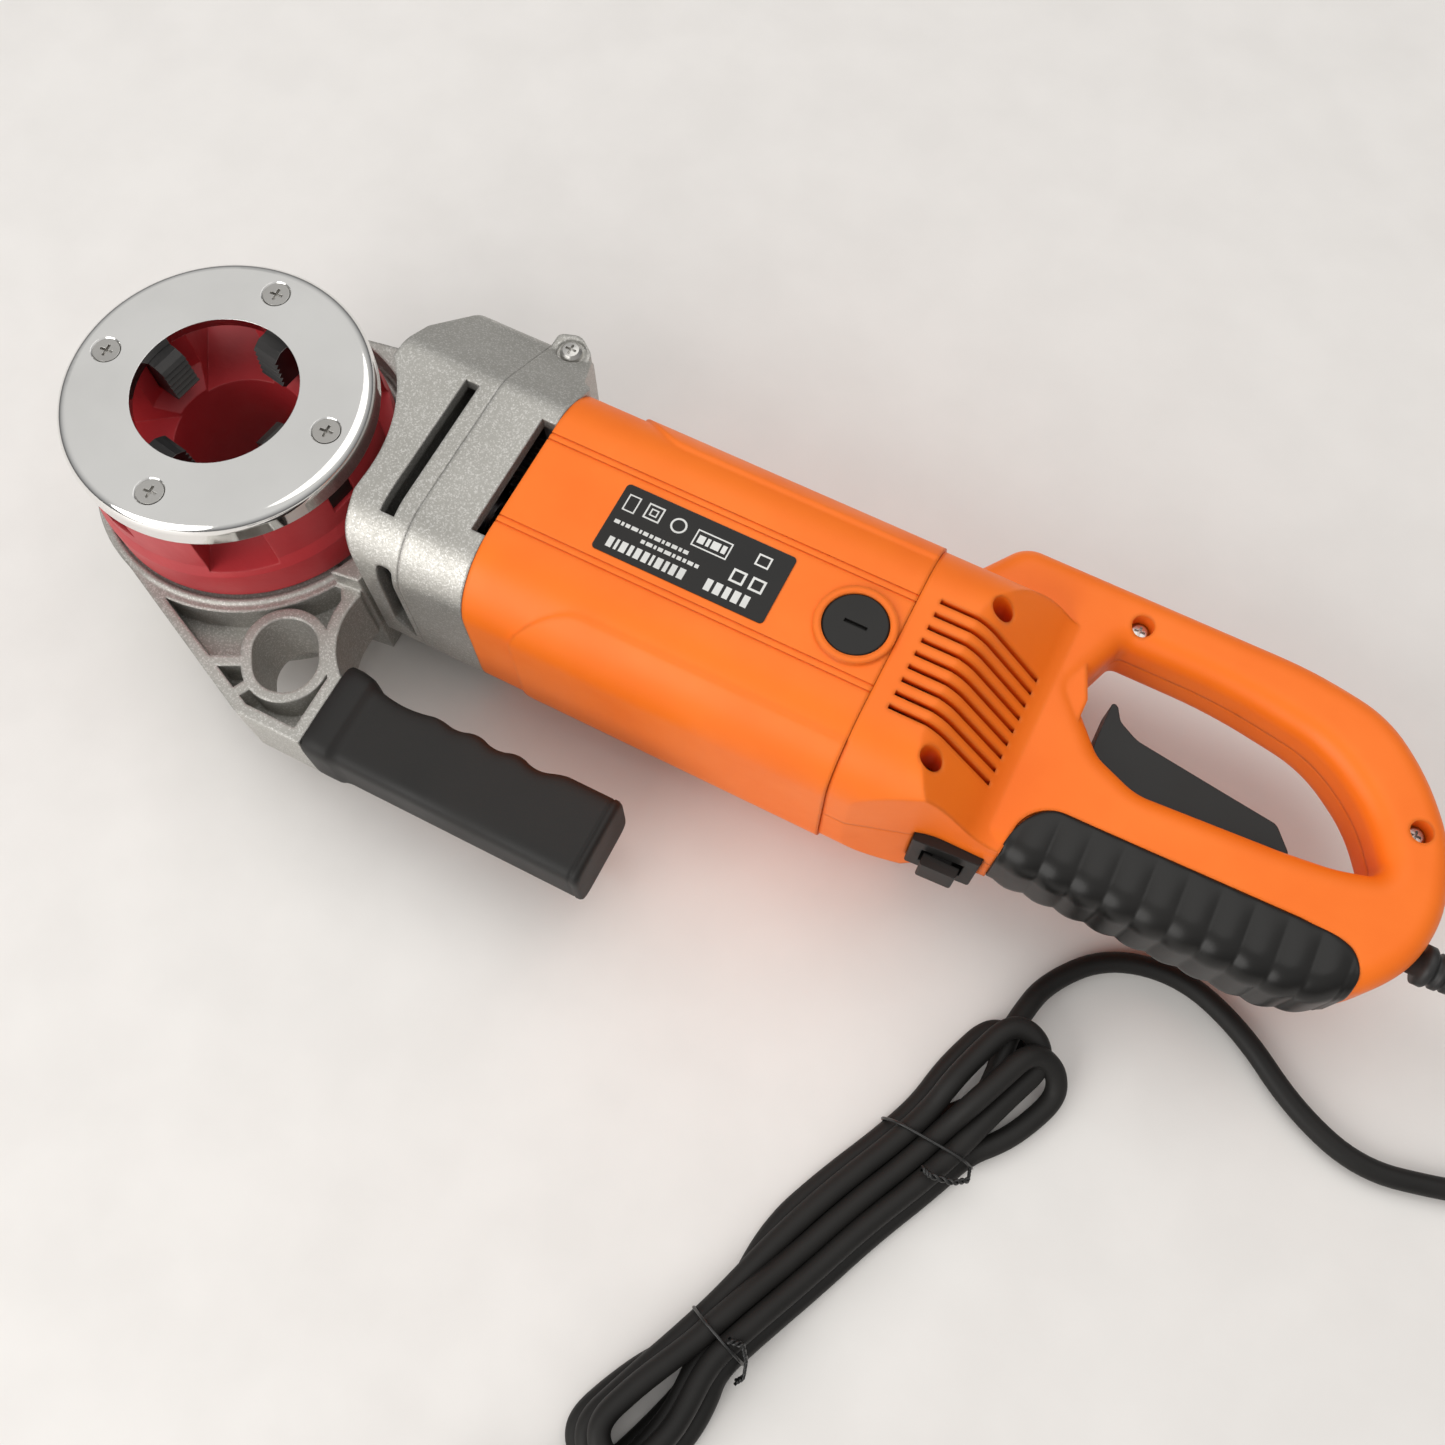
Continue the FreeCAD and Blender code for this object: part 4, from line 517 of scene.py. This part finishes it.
# ---------------------------------------------------------------- die head and chasers
# The head is a casting under thick crimson enamel, rubbed lighter at its edges. The four chasers
# are blackened tool steel, bright where their edges are worn.
crimson = finish("crimson_enamel", (0.52, 0.036, 0.043), (0.43, 0.027, 0.035), (0.36, 0.52),
                 grain=(350, 0.00010), edge=0.0009, worn=(0.58, 0.08, 0.08))
dress(crimson, "die_head_body")
tool_steel = finish("tool_steel", (0.035, 0.034, 0.035), (0.06, 0.058, 0.055), (0.3, 0.5), metallic=0.85,
                    grain=(2500, 0.00002), edge=0.0002, worn=(0.35, 0.34, 0.33))
dress(tool_steel, "dies")


# ---------------------------------------------------------------- steel, bronze and copper parts
# Machined gears, shafts, bearings and screws, bronze bushes, brass brush holders and copper coils.
screw_steel = finish("screw_steel", (0.58, 0.57, 0.55), (0.46, 0.45, 0.43), (0.22, 0.38), metallic=1,
                     grain=(1800, 0.00001), edge=0.0002, worn=(0.7, 0.69, 0.67))
dress(screw_steel, "cover_screws", "lug_screw", "handle_screws", "ring_cover_screws", "motor_screws",
      "snap_ring", "trigger_spring", "brush_springs")
gear_steel = finish("gear_steel", (0.36, 0.36, 0.37), (0.28, 0.28, 0.29), (0.28, 0.42), metallic=1,
                    grain=(900, 0.00002), edge=0.0003, worn=(0.6, 0.6, 0.6))
dress(gear_steel, "drive_ring", "first_gear", "second_gear", "layshaft", "bevel_pinion_shaft", "pinion_shaft",
      "bevel_gear", "gear_bearings", "bevel_shaft_bearing", "armature_bearings", "armature_shaft")
bronze = finish("bronze", (0.55, 0.36, 0.16), (0.46, 0.29, 0.13), (0.3, 0.45), metallic=1, edge=0.0002)
dress(bronze, "ring_bush_upper", "ring_bush_lower", "pinion_bush", "brush_holders")
copper = finish("enamelled_copper", (0.60, 0.22, 0.08), (0.48, 0.16, 0.06), (0.25, 0.4), metallic=0.9,
                grain=(1500, 0.0002), edge=0.0002)
dress(copper, "commutator", "field_coils")
laminations = finish("laminations", (0.13, 0.13, 0.135), (0.19, 0.185, 0.18), (0.35, 0.5), metallic=0.8,
                     grain=(1200, 0.00005), edge=0.0003)
dress(laminations, "armature_core", "stator")
bare_aluminium = finish("bare_aluminium", (0.60, 0.60, 0.61), (0.50, 0.50, 0.51), (0.35, 0.5), metallic=1,
                        grain=(700, 0.00006), edge=0.0005)
dress(bare_aluminium, "front_bearing_plate", "rear_bearing_plate")
carbon = finish("carbon", (0.03, 0.03, 0.03), (0.05, 0.05, 0.05), (0.5, 0.7),
                grain=(2500, 0.00004), edge=0.0002)
dress(carbon, "carbon_brushes")


# ---------------------------------------------------------------- black plastic parts
# Trigger and its pin, brush caps, switch, its plate and slider, fan, the bridge at the back of the
# motor and the insulated leads: black nylon with a fine moulded grain.
black_nylon = finish("black_nylon", (0.008, 0.0075, 0.007), (0.014, 0.013, 0.012), (0.4, 0.56),
                     grain=(1300, 0.00003), edge=0.0006, worn=(0.02, 0.02, 0.02), shine=0.35)
dress(black_nylon, "brush_cap_top", "brush_cap_bottom", "bearing_bridge", "fan", "trigger", "switch_body",
      "direction_switch_plate", "direction_slider", "internal_leads", "trigger_pin")


# ---------------------------------------------------------------- front grip
# A charcoal rubber moulding pushed over the casting's tang: a collar, a flat-topped body with one
# long and three short finger grooves along its inner side, and a seam round its end.
grip_rubber = finish("grip_rubber", (0.0105, 0.0100, 0.0095), (0.0165, 0.0155, 0.0145), (0.5, 0.66),
                     grain=(1600, 0.00004), edge=0.0008, shine=0.35)
GRIP_NEAR, GRIP_FAR, GRIP_LOW, GRIP_HIGH = -88, -53, 17, 50
FINGER_PITCH = 16.5
# each groove: place along the grip, radius, and how far its centre stands off the side
GRIP_GROOVES = [(99, 42, 38.6)] + [(119 + FINGER_PITCH * index, 13, 10.2) for index in range(3)]
GRIP_INSET = 2.4
GRIP_CORNER = 7
# sections along the collar, the body and the end: place, and how far each is drawn in
GRIP_COLLAR = [(75, 2.2), (75.3, 0.8), (76.2, 0.1), (80, 0), (84.6, 0.1), (85.8, 0.6), (87, 1.6), (89, 2.3)]
GRIP_BODY = [(90 + step * 0.9, GRIP_INSET) for step in range(100)]
GRIP_END = [(180.2, 2.4), (180.7, 3), (181.2, 2.1), (182.6, 2.2), (183.5, 3), (183.9, 4.2), (184, 6)]


def groove_depth(x):
    """How deep the finger grooves are cut at x."""
    depth = 0
    for centre, radius, stand_off in GRIP_GROOVES:
        if abs(x - centre) < radius:
            depth = max(depth, math.sqrt(radius ** 2 - (x - centre) ** 2) - stand_off)
    return depth


def grip_rings(shape):
    """Sections along the grip, with the groove depth averaged so that the ridges come out rounded."""
    rings = []
    for x, inset in GRIP_COLLAR + GRIP_BODY + GRIP_END:
        groove = sum(groove_depth(x + step) for step in (-3, -1.5, 0, 1.5, 3)) / 5
        far = GRIP_FAR - inset * 0.5 - groove
        near = GRIP_NEAR + inset * 0.4
        centre = Vector((x, (far + near) / 2, (GRIP_LOW + GRIP_HIGH) / 2)) * MM
        rings.append(rounded_ring(shape, centre, Vector((0, 1, 0)), UP, (far - near) / 2 * MM,
                                  ((GRIP_HIGH - GRIP_LOW) / 2 - inset) * MM, GRIP_CORNER, 72))
    join_rings(shape, rings)


new_piece("front_grip_moulding", mesh_from("front_grip_moulding", grip_rings), grip_rubber,
          replaces=("front_grip",))


# ---------------------------------------------------------------- ribbed panel on the rear grip
# A soft rubber pad wrapped round the near side of the handle and over both its faces, moulded with
# ten rounded ribs that fade out towards its edges.
PAD_LENGTH_STEP = 0.6
PAD_NEAR = -19.8
PAD_MIDDLE = 46
# half of the flat near side, and the radius of its corners
PAD_FLAT = 7
PAD_CORNER = 9
# towards the rear the near side bends away, as the handle does
BEND_START, BEND_LENGTH, BEND_DEPTH = 393, 27, 7.9
# the edge on the handle's faces, which drifts inward towards the rear and is rounded at both ends
PAD_EDGE, EDGE_DRIFT, DRIFT_LENGTH = 3.2, 1.6, 80
FRONT_START, FRONT_LENGTH, FRONT_DEPTH = 318, 14, 22
REAR_START, REAR_LENGTH, REAR_DEPTH = 404, 16.7, 17
RIBS_START, RIBS_END = 307, 418
RIB_PITCH = 11
RIB_HEIGHT = 1.1
RIB_ROUNDNESS = 0.9
RIB_FADE = 5


def pad_point(x, share, depth):
    """A point of the pad. share runs from -1 at its lower edge to 1 at its upper; depth goes inward."""
    near = PAD_NEAR
    if x > BEND_START:
        near += BEND_DEPTH * ((x - BEND_START) / BEND_LENGTH) ** 2
    inner = PAD_EDGE + EDGE_DRIFT * min(max((x - FRONT_START) / DRIFT_LENGTH, 0), 1)
    if x < FRONT_START:
        inner -= FRONT_DEPTH * (1 - math.sqrt(max(0, 1 - ((FRONT_START - x) / FRONT_LENGTH) ** 2)))
    if x > REAR_START:
        inner -= REAR_DEPTH * (1 - max(0, 1 - ((x - REAR_START) / REAR_LENGTH) ** 3) ** (1 / 3))
    quarter = PAD_CORNER * math.pi / 2
    reach = inner - near
    if reach < PAD_CORNER:
        length = PAD_FLAT + PAD_CORNER * math.acos(1 - reach / PAD_CORNER)
    else:
        length = PAD_FLAT + quarter + reach - PAD_CORNER
    path = abs(share) * length
    rib = 0
    if RIBS_START < x < RIBS_END:
        rib = abs(math.sin(math.pi * (x - RIBS_START) / RIB_PITCH)) ** RIB_ROUNDNESS
    outward = RIB_HEIGHT * rib * (1 - abs(share) ** RIB_FADE) - depth
    if path < PAD_FLAT:
        y, z, normal_y, normal_z = near, path, -1, 0
    elif path < PAD_FLAT + quarter:
        angle = (path - PAD_FLAT) / PAD_CORNER
        normal_y, normal_z = -math.cos(angle), math.sin(angle)
        y, z = near + PAD_CORNER * (1 + normal_y), PAD_FLAT + PAD_CORNER * normal_z
    else:
        y, z = near + path - PAD_FLAT - quarter + PAD_CORNER, PAD_FLAT + PAD_CORNER
        normal_y, normal_z = 0, 1
    up = 1 if share >= 0 else -1
    return Vector((x, y + normal_y * outward, PAD_MIDDLE + up * (z + normal_z * outward))) * MM


def pad_grid(shape):
    """The pad's skin, with its four edges turned inward."""
    columns = [(304.9, 3.5), (304.1, 1), (304.3, 0.2)]
    columns += [(304.8 + step * PAD_LENGTH_STEP, 0) for step in range(193)]
    columns += [(420.4, 0.2), (420.6, 1), (419.8, 3.5)]
    rows = [(-1, 3.5), (-1, 0.9), (-0.995, 0.2)] + [(step / 30, 0) for step in range(-29, 30)]
    rows += [(0.995, 0.2), (1, 0.9), (1, 3.5)]
    grid = []
    for x, depth in columns:
        grid.append([shape.verts.new(pad_point(x, share, max(depth, edge))) for share, edge in rows])
    for first, second in zip(grid, grid[1:]):
        for index in range(len(rows) - 1):
            shape.faces.new((first[index], first[index + 1], second[index + 1], second[index]))


pad_rubber = finish("pad_rubber", (0.0075, 0.0072, 0.0068), (0.0115, 0.0108, 0.010), (0.26, 0.38),
                    grain=(1600, 0.00002), edge=0.0006, shine=0.3)
new_piece("ribbed_pad", mesh_from("ribbed_pad", pad_grid), pad_rubber,
          replaces=("rubber_grip_panel",))


# ---------------------------------------------------------------- rating label
# A thin glossy black film on the motor housing, with plain white bars, boxes and rings in place of
# print.
label_film = finish("label_film", (0.006, 0.006, 0.006), (0.012, 0.011, 0.010), (0.14, 0.3),
                    grain=(700, 0.000008), edge=0.0001, shine=0.25)
dress(label_film, "rating_label")
label_ink = finish("label_ink", (0.75, 0.75, 0.73), (0.62, 0.62, 0.60), (0.3, 0.45), edge=0.0001)
LABEL_TOP = 90.42
RING_STEPS = 24


def flat_bar(shape, x, y, width, height):
    """A flat rectangle of ink from its low corner."""
    corners = [(x, y), (x + width, y), (x + width, y + height), (x, y + height)]
    shape.faces.new([shape.verts.new(Vector((px, py, LABEL_TOP)) * MM) for px, py in corners])


def frame_of_ink(shape, x, y, width, height, line):
    """An open box from its low corner."""
    flat_bar(shape, x, y, width, line)
    flat_bar(shape, x, y + height - line, width, line)
    flat_bar(shape, x, y + line, line, height - 2 * line)
    flat_bar(shape, x + width - line, y + line, line, height - 2 * line)


def ring_of_ink(shape, x, y, outer, inner):
    """A flat ring round (x, y)."""
    circles = []
    for radius in (outer, inner):
        circle = []
        for step in range(RING_STEPS):
            angle = 2 * math.pi * step / RING_STEPS
            place = Vector((x + radius * math.cos(angle), y + radius * math.sin(angle), LABEL_TOP))
            circle.append(shape.verts.new(place * MM))
        circles.append(circle)
    wide, narrow = circles
    for step in range(RING_STEPS):
        following = (step + 1) % RING_STEPS
        shape.faces.new((wide[step], wide[following], narrow[following], narrow[step]))


def bar_row(shape, x, y, height, widths, gap):
    """Bars of different widths side by side, in place of a line of print."""
    for width in widths:
        flat_bar(shape, x, y, width, height)
        x += width + gap


def label_marks(shape):
    """Boxes and a ring along the far side, two thin rows of bars, and a thick row below them."""
    frame_of_ink(shape, 152, 24.5, 6, 6, 0.6)
    frame_of_ink(shape, 153.6, 26.1, 2.8, 2.8, 0.5)
    frame_of_ink(shape, 144.5, 24, 4.5, 6.5, 0.5)
    frame_of_ink(shape, 171, 22.5, 13, 6.5, 0.5)
    bar_row(shape, 172.4, 24.2, 3, (2.4, 1.2, 3, 1.6), 0.7)
    ring_of_ink(shape, 164.5, 27, 2.9, 2.2)
    bar_row(shape, 144.5, 18.6, 1.4, (2, 1, 1.6, 2.4, 0.8, 1.8, 1.2, 2.2, 0.9, 1.5, 2, 1.1, 1.8), 0.6)
    bar_row(shape, 156, 15.6, 1.4, (1.4, 2.2, 0.9, 1.8, 2.4, 1, 1.6, 1.2, 2, 1.4), 0.6)
    bar_row(shape, 146, 9.6, 4, (2, 1, 2.2, 1.4, 2, 2, 1, 2.2, 1.4, 2, 2.2), 0.9)
    bar_row(shape, 182, 9.8, 4.4, (2.2, 2.4, 2, 2.4, 2.2), 1.1)
    for index in range(2):
        frame_of_ink(shape, 188 + index * 7, 16.4, 5, 5, 0.8)
    frame_of_ink(shape, 193, 25.5, 5, 4.5, 0.6)


new_piece("label_marks", mesh_from("label_marks", label_marks), label_ink)


# ---------------------------------------------------------------- floor and light
# A pale matte table top, a window's soft light from the near side, and two weaker broad lights. The
# left one is left out of reflections, so that the polished plate mirrors only the room.
floor_mesh = bpy.data.meshes.new("floor")
floor_mesh.from_pydata([(-4, -4, 0), (4, -4, 0), (4, 4, 0), (-4, 4, 0)], [], [(0, 1, 2, 3)])
floor = bpy.data.objects.new("floor", floor_mesh)
bpy.context.scene.collection.objects.link(floor)
table_top = finish("table_top", (0.75, 0.727, 0.705), (0.78, 0.757, 0.735), (0.4, 0.5), grain=(300, 0.00002))
floor_mesh.materials.append(table_top)


def soft_light(name, place, size, power, colour, mirrored=True):
    """A round area light that looks at the middle of the machine."""
    lamp = bpy.data.lights.new(name, "AREA")
    lamp.shape = "DISK"
    lamp.size = size
    lamp.energy = power
    lamp.color = colour
    thing = bpy.data.objects.new(name, lamp)
    thing.location = place
    thing.rotation_euler = (Vector((0.2, 0, 0)) - Vector(place)).to_track_quat("-Z", "Y").to_euler()
    thing.visible_glossy = mirrored
    bpy.context.scene.collection.objects.link(thing)


soft_light("window", (-0.35, -1.35, 0.8), 1.5, 17, (1, 0.985, 0.96))
soft_light("overhead", (0.3, 0.7, 1.7), 1.8, 8, (1, 0.985, 0.96))
soft_light("left_side", (-1.3, 0.7, 1.7), 2.2, 8, (0.97, 0.98, 1), mirrored=False)
world = bpy.data.worlds.new("room")
world.use_nodes = True
room = world.node_tree
facing = room.nodes.new("ShaderNodeTexCoord")
height = room.nodes.new("ShaderNodeSeparateXYZ")
room.links.new(facing.outputs["Generated"], height.inputs["Vector"])
shade = room.nodes.new("ShaderNodeValToRGB")
shade.color_ramp.elements[0].position = 0.0
shade.color_ramp.elements[0].color = (0.10, 0.10, 0.10, 1)
shade.color_ramp.elements[1].position = 0.75
shade.color_ramp.elements[1].color = (0.98, 0.97, 0.95, 1)
wall = shade.color_ramp.elements.new(0.25)
wall.color = (0.42, 0.42, 0.42, 1)
room.links.new(height.outputs["Z"], shade.inputs["Fac"])
room.links.new(shade.outputs["Color"], room.nodes["Background"].inputs["Color"])
room.nodes["Background"].inputs["Strength"].default_value = 0.7
bpy.context.scene.world = world
bpy.context.scene.view_settings.view_transform = "Standard"
